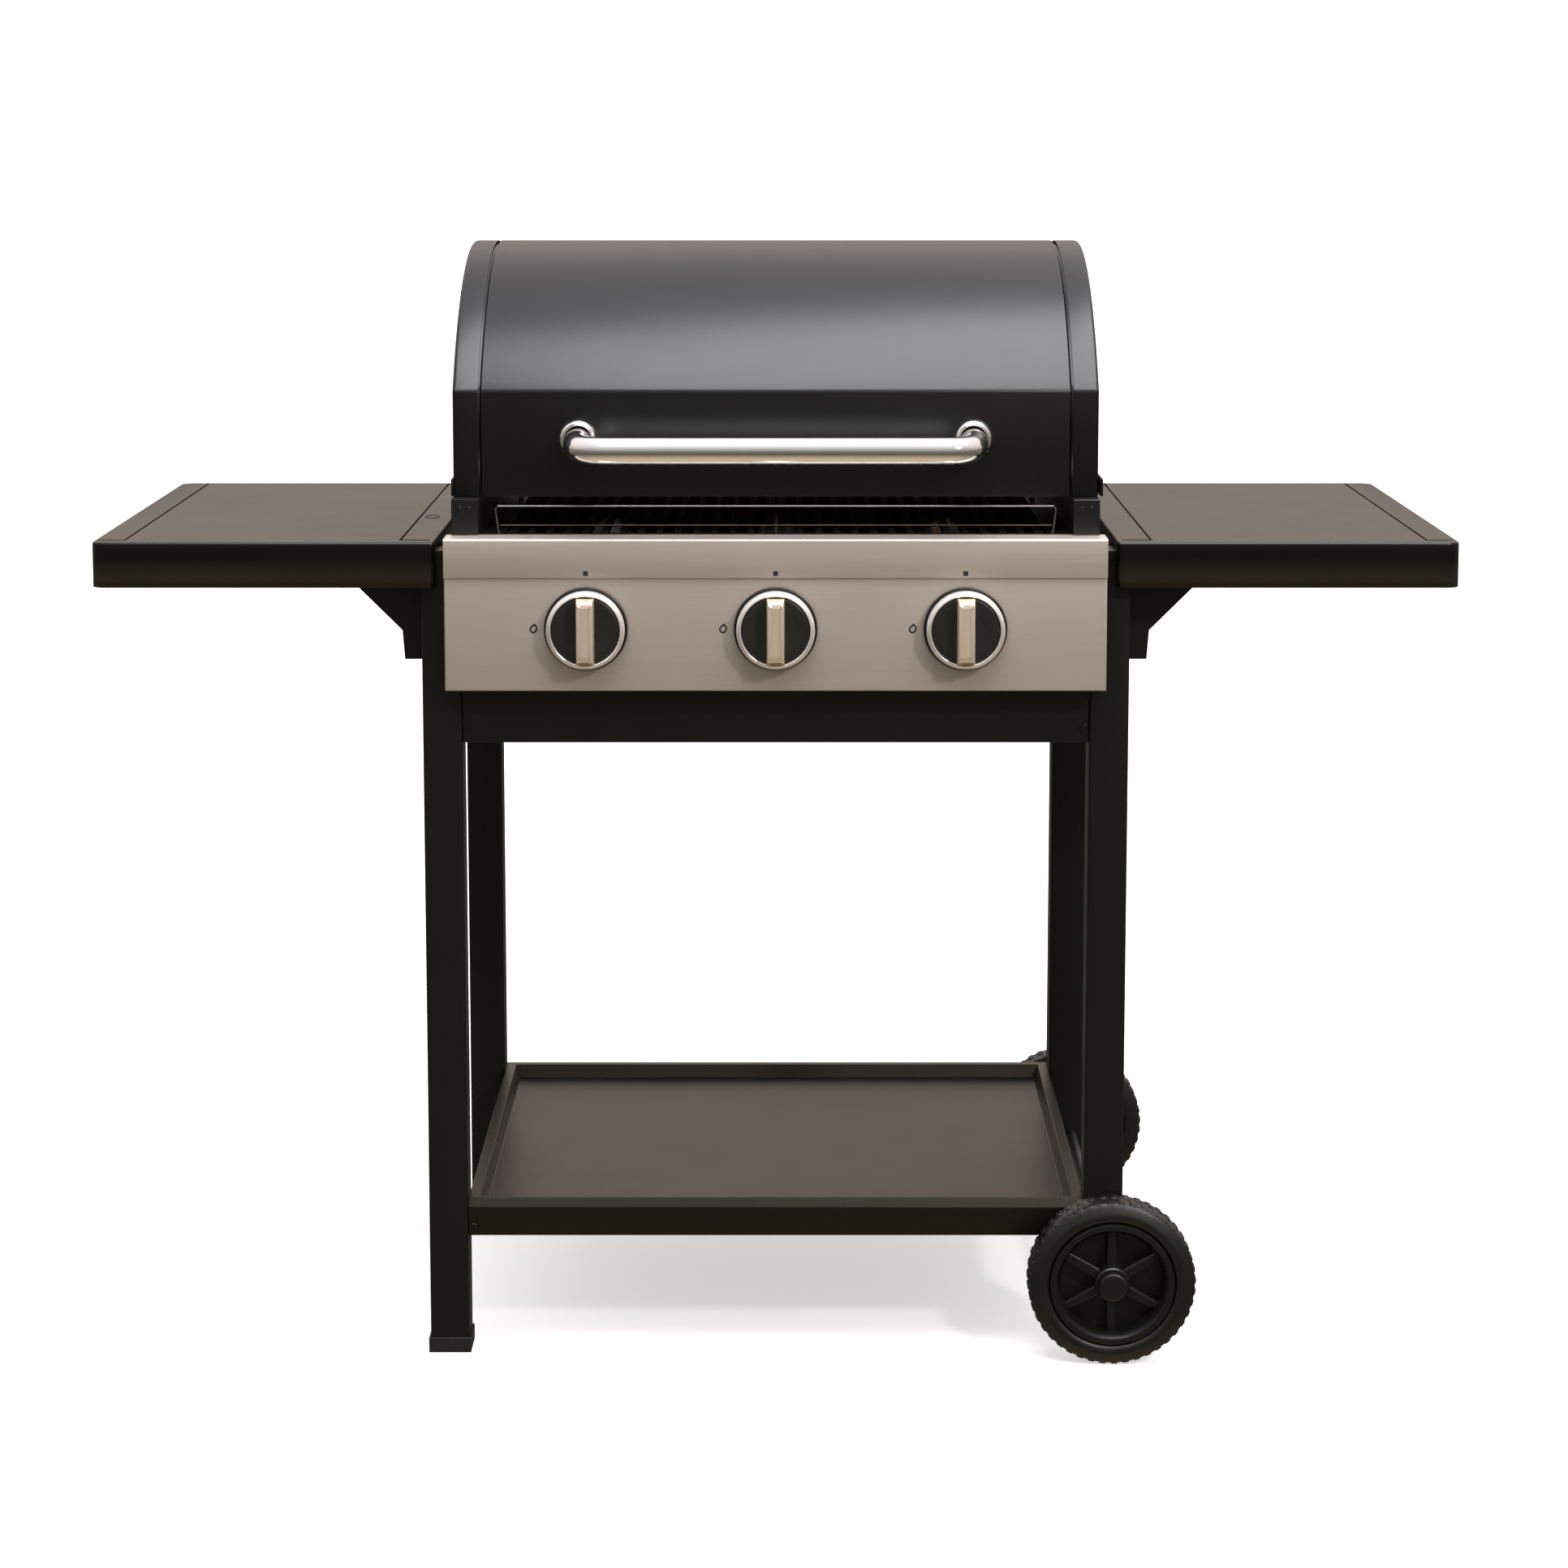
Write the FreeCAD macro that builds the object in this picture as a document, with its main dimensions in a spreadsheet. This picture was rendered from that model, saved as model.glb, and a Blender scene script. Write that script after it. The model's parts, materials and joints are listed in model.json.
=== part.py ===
"""Three-burner gas barbecue on a wheeled cart.

Millimetres, +Z up, +X to the right of the person who cooks, -Y towards that person.
The origin is on the floor, in the middle of the overall width and depth. Each piece is drawn
about the middle of the four legs, and its Placement carries it back by origin_shift.
A size that starts with = is worked out from the sizes above it.
"""
import FreeCAD, Part
import math
import os
import re
import Sketcher

SIZES = {
    "origin_shift": 7.75,       # the front stands out further than the back, so the legs sit behind the middle
    "clearance": 0.3,           # between a moving piece and what it passes
    "running_fit": 0.05,        # radial, for shafts that turn or slide in a bore
    # cart frame
    "leg_span_x": 623,
    "leg_span_y": 455,
    "leg_tube": 35,
    "leg_wall": 1.2,
    "leg_corner": 3,
    "leg_top": 730,
    "foot_height": 14,
    "foot_wall": 1.5,
    "foot_floor": 2,
    "plug_head": 3,
    "plug_depth": 10,
    "plug_play": 1,
    "rail_top": 598,
    "rail_height": 39.5,
    "rail_depth": 20,
    "rail_sheet": 1.2,
    "rail_setback": 3,
    "shelf_bottom": 108,
    "shelf_floor": 124,
    "shelf_rim": 142,
    "shelf_sheet": 1.2,
    "screw_head": 3.5,
    "screw_head_depth": 1.5,
    "screw_inset": 4.5,
    # wheels
    "wheel_radius": 75,
    "wheel_leg_bottom": "=wheel_radius - 25",
    "wheel_x": "=leg_span_x / 2 - 11.5",
    "tyre_width": 35,
    "tyre_shoulder": 5,
    "rim_radius": 56,
    "rim_inner": 46,
    "rim_width": 32,
    "hub_radius": 13,
    "hub_width": 36,
    "spoke_width": 10,
    "spoke_depth": 18,
    "spoke_count": 6,
    "axle_radius": 5,
    "axle_nut_radius": 9,
    "axle_nut_length": 7.5,
    "axle_nut_crown": 3,
    # firebox
    "tub_half_width": "=leg_span_x / 2 - 71.5",
    "tub_half_depth": "=leg_span_y / 2 - 2",
    "tub_top": 742,
    "tub_knee": 660,
    "tub_bottom": 624,
    "tub_bottom_half_width": 60,
    "tub_sheet": 1.2,
    "drain_radius": 15,
    "grate_ledge": 10,
    "side_inner": "=leg_span_x / 2 - 51.1",
    "side_outer": "=leg_span_x / 2 - 27.9",
    "side_web_bottom": 712,
    "side_block_bottom": 744,
    "side_top": 775.5,
    "side_front": "=leg_span_y / 2 + 5",
    "side_wall": 2.5,
    "side_ledge": 10.4,
    "side_ledge_thickness": 3,
    "rivet_radius": 2,
    "rivet_height": 1,
    "rivet_spacing": 8,
    # cooking surfaces
    "grate_top": 744,
    "grate_thickness": 10,
    "grate_bar": 6,
    "grate_frame": 8,
    "grate_gap": 3,
    "grate_bars": 13,
    "grate_margin": 2.5,
    "rack_top": 838,
    "rack_wire": 5,
    "rack_half_width": "=leg_span_x / 2 - 64.5",
    "rack_front": 60,
    "rack_back": "=leg_span_y / 2 - 27.5",
    "rack_bars": 7,
    # burners and gas
    "burner_pitch": 165,
    "knob_height": 665.5,
    "burner_radius": 12.5,
    "burner_wall": 1,
    "burner_hole_play": 0.6,
    "burner_start": "=leg_span_y / 2 + 2",
    "burner_end": "=leg_span_y / 2 - 27.5",
    "port_count": 14,
    "port_pitch": 26,
    "port_width": 1.5,
    "port_length": 8,
    "tent_half_width": 30,
    "tent_eaves": 692,
    "tent_ridge": 712,
    "tent_sheet": 1.2,
    "manifold_side": 16,
    "manifold_wall": 1.5,
    "manifold_y": "=leg_span_y / 2 + 15.5",
    "manifold_top": 648,
    "manifold_left": "=leg_span_x / 2 - 45.5",
    "manifold_right": 190,
    "valve_half_width": 11,
    "valve_front": "=leg_span_y / 2 + 25.5",
    "valve_back": "=leg_span_y / 2 + 3.5",
    "valve_top": 683,
    "nozzle_radius": 3.5,
    "nozzle_length": 4.5,
    "inlet_x": "=leg_span_x / 2 - 53.5",
    "inlet_radius": 5,
    "inlet_height": 620,
    "inlet_end": "=leg_span_y / 2 + 12.5",
    "inlet_bend": 20,
    "inlet_collar_radius": 9,
    "inlet_collar_length": 8,
    "inlet_nozzle_length": 26,
    "igniter_radius": 2.5,
    "igniter_length": 30,
    # control panel
    "panel_half_width": "=leg_span_x / 2 - 23",
    "panel_front": "=leg_span_y / 2 + 30",
    "panel_bottom": 610,
    "panel_sheet": 1.2,
    "cap_bottom": 710,
    "cap_sheet": 2,
    "cap_back": "=leg_span_y / 2 - 1.5",
    # knobs
    "bezel_radius": 36.5,
    "bezel_depth": 6,
    "bezel_floor": 1.2,
    "bezel_play": 0.5,
    "stem_hole_radius": 8,
    "stem_radius": 4,
    "stem_back": "=leg_span_y / 2 + 12.5",
    "stem_front": "=panel_front + 13.5",
    "valve_bore_depth": 20,
    "knob_travel": 4,
    "knob_radius": 31,
    "knob_thickness": 10.3,
    "knob_ring_radius": 34.6,
    "knob_ring_depth": 11.3,
    "grip_width": 16,
    "grip_height": 58,
    "grip_depth": 13.5,
    "grip_corner": 3,
    # hood
    "hood_half_width": "=leg_span_x / 2 - 28",
    "hood_seam": "=leg_span_x / 2 - 52",
    "hood_front": "=leg_span_y / 2 - 15",
    "hood_back": "=leg_span_y / 2 + 5",
    "hood_bottom": 776,
    "hood_radius": "=leg_span_y / 2 + 67.5",
    "hood_centre_y": 26,
    "hood_centre_z": 695.6,
    "hood_sheet": 1.2,
    "hem_height": 16,
    "hem_step": 2,
    "hinge_y": "=leg_span_y / 2 + 12.5",
    "hinge_z": 768,
    "hinge_knuckle": 6.5,
    "hinge_pin_radius": 3.5,
    "hinge_ear": 6,
    "hinge_ear_start": "=leg_span_x / 2 - 49.5",
    "hinge_ear_height": 32,
    "handle_z": 821,
    "handle_y": "=leg_span_y / 2 + 34.5",
    "handle_radius": 12,
    "handle_half_width": "=leg_span_x / 2 - 138.5",
    "handle_bend": 25,
    "ferrule_radius": 17.5,
    "ferrule_length": 12,
    "handle_bolt_radius": 7,
    "handle_bolt_head": 4,
    # side tables
    "table_inner": "=leg_span_x / 2 - 13.5",
    "table_outer": "=leg_span_x / 2 + 286.5",
    "table_top": 739,
    "table_skirt": 40,
    "table_front": "=leg_span_y / 2 + 15",
    "table_back": "=leg_span_y / 2 + 4",
    "table_corner": 12,
    "table_sheet": 1.2,
    "trim_thickness": 1.4,
    "trim_gap": 0.5,
    "trim_inner_width": 31,
    "trim_outer_width": 27.5,
    "table_slot_length": 16,
    "table_slot_width": 5,
    "table_slot_x": "=table_inner + 20",
    "table_slot_y": 55,
    "pivot_x": "=leg_span_x / 2 - 11.5",
    "pivot_z": 680,
    "pivot_radius": 5,
    "pivot_head_radius": 8,
    "pivot_head_depth": 3,
    "bracket_plate": 2.5,
    "bracket_flange": 16,
    "bracket_inner": "=leg_span_x / 2 - 21.5",
    "bracket_outer": "=leg_span_x / 2 + 65.5",
    "bracket_neck_x": "=leg_span_x / 2 + 20.5",
    "bracket_neck_z": 654,
    "bracket_toe_x": "=leg_span_x / 2 + 18.5",
    "bracket_toe_z": 628,
    # grease tray
    "runner_inner": 112,
    "runner_outer": 130,
    "runner_sheet": 1.5,
    "runner_height": 22,
    "tray_half_width": 127,
    "tray_front": "=leg_span_y / 2 - 67.5",
    "tray_back": "=leg_span_y / 2 + 0.5",
    "tray_height": 17,
    "tray_sheet": 1,
    "tray_lip_half_width": 60,
    "tray_lip": 10,
    "tray_lip_height": 5,
}

doc = FreeCAD.newDocument("GasBarbecue")
sheet = doc.addObject("Spreadsheet::Sheet", "Sizes")
for row, (name, number) in enumerate(SIZES.items(), start=1):
    sheet.set(f"A{row}", name)
    sheet.set(f"B{row}", str(number))
    sheet.setAlias(f"B{row}", name)
doc.recompute()

pieces = []

# Places that several pieces share, as expressions on the sheet.
LEG_X = "(leg_span_x - leg_tube) / 2"
LEG_Y = "(leg_span_y - leg_tube) / 2"
LEG_INNER_X = "(leg_span_x / 2 - leg_tube)"
LEG_FACE_Y = "(leg_span_y / 2)"
LEG_INNER_Y = "(leg_span_y / 2 - leg_tube)"
RAIL_FACE_Y = "(leg_span_y / 2 - rail_setback)"
BURNER_COLUMNS = {"left": -1, "middle": 0, "right": 1}
SIDES = {"left": -1, "right": 1}


# ---------------------------------------------------------------- helpers

def bound(text):
    """The expression with each size's name pointed at the sheet."""
    return re.sub(r"[a-z]\w+", lambda word: f"Sizes.{word[0]}" if word[0] in SIZES else word[0], str(text))


def value(text):
    return float(sheet.evalExpression(bound(text)))


def bind(thing, prop, text):
    thing.setExpression(prop, bound(text))


def place(thing, x="0", y="0", z="0"):
    for axis, text in zip("xyz", (x, y, z)):
        bind(thing, f"Placement.Base.{axis}", text)


def keep(piece, label, x="0", y="0", z="0"):
    """Names a finished piece and carries it from the middle of the legs to the object's origin."""
    piece.Label = label
    place(piece, x, f"origin_shift + {y}", z)
    pieces.append(piece)
    return piece


def across(side, inner, outer):
    """The low and high X of something that lies between inner and outer on the left (-1) or right (1)."""
    return (inner, outer) if side > 0 else (f"-({outer})", f"-({inner})")


def mirrored(side, text):
    return text if side > 0 else f"-({text})"


def new_body(label, x="0", y="0", z="0"):
    return keep(doc.addObject("PartDesign::Body", label), label, x, y, z)


def sketch(body, plane, lift="0"):
    """An empty sketch on one of the body's own origin planes, lifted along that plane's normal."""
    drawing = body.newObject("Sketcher::SketchObject", f"{body.Name}Sketch")
    support = next(feature for feature in body.Origin.OriginFeatures if feature.Role == plane)
    drawing.AttachmentSupport = [(support, "")]
    drawing.MapMode = "FlatFace"
    bind(drawing, "AttachmentOffset.Base.z", lift)
    return drawing


def fix_point(drawing, geometry, point, u, v):
    """Binds a point of a sketch's line or arc to two expressions."""
    for kind, text in (("DistanceX", u), ("DistanceY", v)):
        number = drawing.addConstraint(Sketcher.Constraint(kind, geometry, point, value(text)))
        bind(drawing, f"Constraints[{number}]", text)


def arc_between(start, end, radius, centre_side):
    """An arc of a circle whose centre lies to the left (1) or right (-1) of the way from start to end."""
    chord = end - start
    rise = math.sqrt(radius ** 2 - (chord.Length / 2) ** 2)
    normal = FreeCAD.Vector(-chord.y, chord.x, 0).normalize()
    centre = (start + end) / 2 + normal * rise * centre_side
    first, last = (start, end) if centre_side > 0 else (end, start)
    angles = [math.atan2(point.y - centre.y, point.x - centre.x) for point in (first, last)]
    circle = Part.Circle(centre, FreeCAD.Vector(0, 0, 1), radius)
    return Part.ArcOfCircle(circle, angles[0], angles[1])


def chain(drawing, corners, arcs, closed):
    """Lines through the corners. arcs gives the radius and centre side of each side that is an arc."""
    points = [FreeCAD.Vector(value(u), value(v), 0) for u, v in corners]
    count = len(points) if closed else len(points) - 1
    ends = []
    for side in range(count):
        start = points[side]
        end = points[(side + 1) % len(points)]
        if side in arcs:
            radius, centre_side = arcs[side]
            number = drawing.addGeometry(arc_between(start, end, value(radius), centre_side), False)
            ends.append((number, 1, 2) if centre_side > 0 else (number, 2, 1))
        else:
            number = drawing.addGeometry(Part.LineSegment(start, end), False)
            ends.append((number, 1, 2))
    joints = count if closed else count - 1
    for side in range(joints):
        after = ends[(side + 1) % count]
        drawing.addConstraint(Sketcher.Constraint("Coincident", ends[side][0], ends[side][2], after[0], after[1]))
    for side in range(count):
        fix_point(drawing, ends[side][0], ends[side][1], *corners[side])
    if not closed:
        fix_point(drawing, ends[-1][0], ends[-1][2], *corners[-1])
    for side, (radius, _) in arcs.items():
        number = drawing.addConstraint(Sketcher.Constraint("Radius", ends[side][0], value(radius)))
        bind(drawing, f"Constraints[{number}]", radius)


def polygon(corners, arcs=None):
    return lambda drawing: chain(drawing, corners, arcs or {}, closed=True)


def rectangle(u_low, u_high, v_low, v_high):
    return polygon([(u_low, v_low), (u_high, v_low), (u_high, v_high), (u_low, v_high)])


def rounded(u_low, u_high, v_low, v_high, radius):
    """A rectangle with its four corners rounded."""
    u_in, u_out = f"{u_low} + {radius}", f"{u_high} - {radius}"
    v_in, v_out = f"{v_low} + {radius}", f"{v_high} - {radius}"
    corners = [(u_in, v_low), (u_out, v_low), (u_high, v_in), (u_high, v_out),
               (u_out, v_high), (u_in, v_high), (u_low, v_out), (u_low, v_in)]
    return polygon(corners, {side: (radius, 1) for side in (1, 3, 5, 7)})


def disc(u, v, radius):
    def draw(drawing):
        centre = FreeCAD.Vector(value(u), value(v), 0)
        circle = Part.Circle(centre, FreeCAD.Vector(0, 0, 1), value(radius))
        number = drawing.addGeometry(circle, False)
        fix_point(drawing, number, 3, u, v)
        constraint = drawing.addConstraint(Sketcher.Constraint("Radius", number, value(radius)))
        bind(drawing, f"Constraints[{constraint}]", radius)
    return draw


def prism(body, plane, low, high, *outlines, cut=False):
    """Pads (or pockets) outlines between two places along the axis that the plane faces.

    The XZ plane faces -Y, so its sketch is lifted the other way round.
    """
    drawing = sketch(body, plane, f"-({high})" if plane == "XZ_Plane" else low)
    for outline in outlines:
        outline(drawing)
    feature = body.newObject("PartDesign::Pocket" if cut else "PartDesign::Pad", f"{body.Name}Feature")
    feature.Profile = drawing
    feature.Reversed = cut
    bind(feature, "Length", f"({high}) - ({low})")
    if cut:
        check_cut(body, feature)
    return feature


def check_cut(body, feature):
    """Stops the build when a pocket or groove has taken nothing away."""
    doc.recompute()
    if not feature.Shape.Volume < feature.BaseFeature.Shape.Volume - 0.01:
        raise RuntimeError(f"{body.Label}: {feature.Name} cuts nothing")


def revolve(body, outline, cut=False):
    """Turns an outline about the body's Y axis. Its first coordinate is the radius."""
    drawing = sketch(body, "XY_Plane")
    outline(drawing)
    feature = body.newObject("PartDesign::Groove" if cut else "PartDesign::Revolution", f"{body.Name}Turned")
    feature.Profile = drawing
    feature.ReferenceAxis = (drawing, ["V_Axis"])
    feature.Angle = 360
    if cut:
        check_cut(body, feature)
    return feature


def row_of(body, feature, axis, length, count):
    """Repeats a feature in a straight row along one of the body's origin axes."""
    pattern = body.newObject("PartDesign::LinearPattern", f"{body.Name}Row")
    pattern.Originals = [feature]
    origin_axis = next(item for item in body.Origin.OriginFeatures if item.Role == axis)
    pattern.Direction = (origin_axis, [""])
    bind(pattern, "Length", length)
    bind(pattern, "Occurrences", count)
    body.Tip = pattern
    return pattern


def ring_of(body, feature, count):
    """Repeats a feature round the body's Y axis."""
    pattern = body.newObject("PartDesign::PolarPattern", f"{body.Name}Ring")
    pattern.Originals = [feature]
    origin_axis = next(item for item in body.Origin.OriginFeatures if item.Role == "Y_Axis")
    pattern.Axis = (origin_axis, [""])
    pattern.Angle = 360
    bind(pattern, "Occurrences", count)
    body.Tip = pattern
    return pattern


def block(xs, ys, zs):
    """A box between two expressions on each axis."""
    box = doc.addObject("Part::Box", "Block")
    for prop, (low, high) in zip(("Length", "Width", "Height"), (xs, ys, zs)):
        bind(box, prop, f"({high}) - ({low})")
    place(box, xs[0], ys[0], zs[0])
    return box


TURNS = {
    "x": FreeCAD.Rotation(FreeCAD.Vector(0, 1, 0), 90),
    "y": FreeCAD.Rotation(FreeCAD.Vector(1, 0, 0), -90),
    "z": FreeCAD.Rotation(),
}


def rod(axis, x, y, z, radius, length):
    """A round bar that starts at a point and runs towards +X, +Y or +Z."""
    cylinder = doc.addObject("Part::Cylinder", "Rod")
    cylinder.Placement = FreeCAD.Placement(FreeCAD.Vector(), TURNS[axis])
    bind(cylinder, "Radius", radius)
    bind(cylinder, "Height", length)
    place(cylinder, x, y, z)
    return cylinder


def cut_away(base, *tools):
    for tool in tools:
        difference = doc.addObject("Part::Cut", "Difference")
        difference.Base = base
        difference.Tool = tool
        base = difference
    return base


def joined(*parts):
    union = doc.addObject("Part::MultiFuse", "Union")
    union.Shapes = list(parts)
    return union


def group(label, members):
    """Identical small pieces kept together, each still a solid of its own."""
    compound = doc.addObject("Part::Compound", label)
    compound.Links = list(members)
    return keep(compound, label)


# ---------------------------------------------------------------- cart frame

def make_leg(label, side, end, bottom, on_axle):
    """Square steel tube. The two right-hand legs stop above the floor and are drilled for the axle."""
    body = new_body(label, mirrored(side, LEG_X), mirrored(end, LEG_Y))
    half = "leg_tube / 2"
    bore = "(leg_tube / 2 - leg_wall)"
    prism(body, "XY_Plane", bottom, "leg_top",
          rounded(f"-{half}", half, f"-{half}", half, "leg_corner"),
          rounded(f"-{bore}", bore, f"-{bore}", bore, "(leg_corner - leg_wall)"))
    if on_axle:
        prism(body, "XZ_Plane", f"-{half}", half,
              disc(f"wheel_x - {LEG_X}", "wheel_radius", "axle_radius"), cut=True)


for end_name, end in (("front", -1), ("rear", 1)):
    make_leg(f"leg_{end_name}_left", -1, end, "foot_floor", on_axle=False)
    make_leg(f"leg_{end_name}_right", 1, end, "wheel_leg_bottom", on_axle=True)


def foot_cap(end):
    """Moulded cup pushed over the bottom of a left-hand leg."""
    x, y = mirrored(-1, LEG_X), mirrored(end, LEG_Y)
    out = "(leg_tube / 2 + foot_wall)"
    cup = block((f"{x} - {out}", f"{x} + {out}"), (f"{y} - {out}", f"{y} + {out}"), ("0", "foot_height"))
    fill = "leg_tube / 2"
    seat = block((f"{x} - {fill}", f"{x} + {fill}"), (f"{y} - {fill}", f"{y} + {fill}"),
                 ("foot_floor", "foot_height"))
    return cut_away(cup, seat)


def leg_plug(end):
    """Moulded plug that closes the bottom of a right-hand leg."""
    x, y = mirrored(1, LEG_X), mirrored(end, LEG_Y)
    head, stem = "(leg_tube / 2 - plug_play)", "(leg_tube / 2 - leg_wall - plug_play)"
    plate = block((f"{x} - {head}", f"{x} + {head}"), (f"{y} - {head}", f"{y} + {head}"),
                  ("wheel_leg_bottom - plug_head", "wheel_leg_bottom"))
    insert = block((f"{x} - {stem}", f"{x} + {stem}"), (f"{y} - {stem}", f"{y} + {stem}"),
                   ("wheel_leg_bottom - plug_head / 2", "wheel_leg_bottom + plug_depth"))
    return joined(plate, insert)


group("foot_caps", [make(end) for make in (foot_cap, leg_plug) for end in (-1, 1)])


def channel(face, back, low, high, sheet_size):
    """U-shaped section with its web on face and its two flanges running to back."""
    inward = "+" if value(back) > value(face) else "-"
    web = f"{face} {inward} {sheet_size}"
    return polygon([(face, low), (back, low), (back, f"{low} + {sheet_size}"), (web, f"{low} + {sheet_size}"),
                    (web, f"{high} - {sheet_size}"), (back, f"{high} - {sheet_size}"), (back, high), (face, high)])


RAIL_LOW = "(rail_top - rail_height)"
for end_name, end in (("front", -1), ("rear", 1)):
    rail = new_body(f"{end_name}_rail")
    prism(rail, "YZ_Plane", f"-{LEG_INNER_X}", LEG_INNER_X,
          channel(mirrored(end, RAIL_FACE_Y), mirrored(end, f"({RAIL_FACE_Y} - rail_depth)"),
                  RAIL_LOW, "rail_top", "rail_sheet"))

for side_name, side in SIDES.items():
    rail = new_body(f"side_rail_{side_name}")
    outer = f"({LEG_X} + rail_depth / 2)"
    prism(rail, "XZ_Plane", f"-{LEG_INNER_Y}", LEG_INNER_Y,
          channel(mirrored(side, outer), mirrored(side, f"({outer} - rail_depth)"),
                  RAIL_LOW, "rail_top", "rail_sheet"))


def make_shelf():
    """Pressed tray between the legs: a floor part way up a rim that runs all round."""
    body = new_body("bottom_shelf")
    x, y = LEG_INNER_X, RAIL_FACE_Y
    inner_x, inner_y = f"({x} - shelf_sheet)", f"({y} - shelf_sheet)"
    prism(body, "XY_Plane", "shelf_bottom", "shelf_rim", rectangle(f"-{x}", x, f"-{y}", y))
    hollow = rectangle(f"-{inner_x}", inner_x, f"-{inner_y}", inner_y)
    prism(body, "XY_Plane", "shelf_floor", "shelf_rim", hollow, cut=True)
    prism(body, "XY_Plane", "shelf_bottom", "(shelf_floor - shelf_sheet)", hollow, cut=True)


make_shelf()


def make_screws():
    """Pan-head screws that hold the rails and the shelf to the legs."""
    heads = []
    rail_z = f"({RAIL_LOW} + rail_height / 3)"
    shelf_z = "((shelf_bottom + shelf_floor) / 2)"
    for side in SIDES.values():
        x = mirrored(side, f"({LEG_INNER_X} - screw_inset)")
        for z in (rail_z, shelf_z):
            heads.append(rod("y", x, f"-{RAIL_FACE_Y} - screw_head_depth", z, "screw_head", "screw_head_depth"))
            heads.append(rod("y", x, RAIL_FACE_Y, z, "screw_head", "screw_head_depth"))
    group("frame_screws", heads)


make_screws()

# ---------------------------------------------------------------- wheels

HUB_START = f"({LEG_FACE_Y} + clearance)"
WHEEL_Y = f"({HUB_START} + hub_width / 2)"
NUT_START = f"({HUB_START} + hub_width + clearance)"
NUT_END = f"({NUT_START} + axle_nut_length)"

axle = doc.addObject("Part::Compound", "axle")
axle.Links = [rod("y", "wheel_x", f"-({NUT_END} - axle_nut_crown)", "wheel_radius", "axle_radius",
                  f"2 * ({NUT_END} - axle_nut_crown)")]
keep(axle, "axle")


def axle_nut(end):
    """Cap nut on one end of the axle."""
    start = NUT_START if end > 0 else f"-{NUT_END}"
    nut = rod("y", "wheel_x", start, "wheel_radius", "axle_nut_radius", "axle_nut_length")
    seat = NUT_START if end > 0 else f"-({NUT_END} - axle_nut_crown)"
    hole = rod("y", "wheel_x", seat, "wheel_radius", "axle_radius", "axle_nut_length - axle_nut_crown")
    return cut_away(nut, hole)


group("axle_nuts", [axle_nut(end) for end in (-1, 1)])


def make_wheel(end_name, end):
    """Moulded six-spoke rim and the rubber tyre on it."""
    where = ("wheel_x", mirrored(end, WHEEL_Y), "wheel_radius")
    tyre = new_body(f"tyre_{end_name}", *where)
    half = "(tyre_width / 2)"
    flat = f"({half} - tyre_shoulder)"
    shoulder = "(wheel_radius - tyre_shoulder)"
    revolve(tyre, polygon([("rim_radius", f"-{half}"), (shoulder, f"-{half}"), ("wheel_radius", f"-{flat}"),
                           ("wheel_radius", flat), (shoulder, half), ("rim_radius", half)]))
    rim = new_body(f"rim_{end_name}", *where)
    revolve(rim, rectangle("rim_inner", "rim_radius", "-rim_width / 2", "rim_width / 2"))
    spoke = prism(rim, "XZ_Plane", "-spoke_depth / 2", "spoke_depth / 2",
                  rectangle("axle_radius + 3", "rim_inner + 1", "-spoke_width / 2", "spoke_width / 2"))
    ring_of(rim, spoke, "spoke_count")
    revolve(rim, rectangle("0", "hub_radius", "-hub_width / 2", "hub_width / 2"))
    revolve(rim, rectangle("0", "axle_radius + running_fit", "-hub_width", "hub_width"), cut=True)


for end_name, end in (("front", -1), ("rear", 1)):
    make_wheel(end_name, end)

# ---------------------------------------------------------------- firebox

def make_firebox():
    """Sheet-steel tub with a trough bottom, a flange round its mouth and a ledge for the grates."""
    body = new_body("firebox")
    half, deep = "tub_half_width", "tub_half_depth"
    flange = "(tub_top - tub_sheet)"
    prism(body, "XZ_Plane", f"-{deep}", deep,
          polygon([(f"-{half}", "tub_top"), (f"-{half}", "tub_knee"),
                   ("-tub_bottom_half_width", "tub_bottom"), ("tub_bottom_half_width", "tub_bottom"),
                   (half, "tub_knee"), (half, "tub_top")]))
    inner = "(tub_half_width - tub_sheet)"
    inner_y = "(tub_half_depth - tub_sheet)"
    low = "tub_bottom + tub_sheet"
    prism(body, "XY_Plane", flange, "tub_top",
          rectangle("-side_inner", "side_inner", f"-{LEG_FACE_Y}", LEG_FACE_Y))
    prism(body, "XZ_Plane", f"-{inner_y}", inner_y,
          polygon([(f"-{inner}", "tub_top"), (f"-{inner}", "tub_knee + tub_sheet"),
                   ("-tub_bottom_half_width", low), ("tub_bottom_half_width", low),
                   (inner, "tub_knee + tub_sheet"), (inner, "tub_top")]), cut=True)
    ledge_top = "(grate_top - grate_thickness)"
    for low_y, high_y in ((f"-{inner_y}", f"-({inner_y} - grate_ledge)"), (f"({inner_y} - grate_ledge)", inner_y)):
        prism(body, "XY_Plane", f"({ledge_top} - tub_sheet)", ledge_top,
              rectangle(f"-{inner}", inner, low_y, high_y))
    hole = "burner_radius + burner_hole_play"
    prism(body, "XZ_Plane", f"-{deep} - 1", f"-{inner_y} + 1",
          *[disc(f"{column} * burner_pitch", "knob_height", hole) for column in BURNER_COLUMNS.values()], cut=True)
    prism(body, "XY_Plane", "tub_bottom - 1", "tub_bottom + 2 * tub_sheet", disc("0", "0", "drain_radius"), cut=True)


make_firebox()


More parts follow.
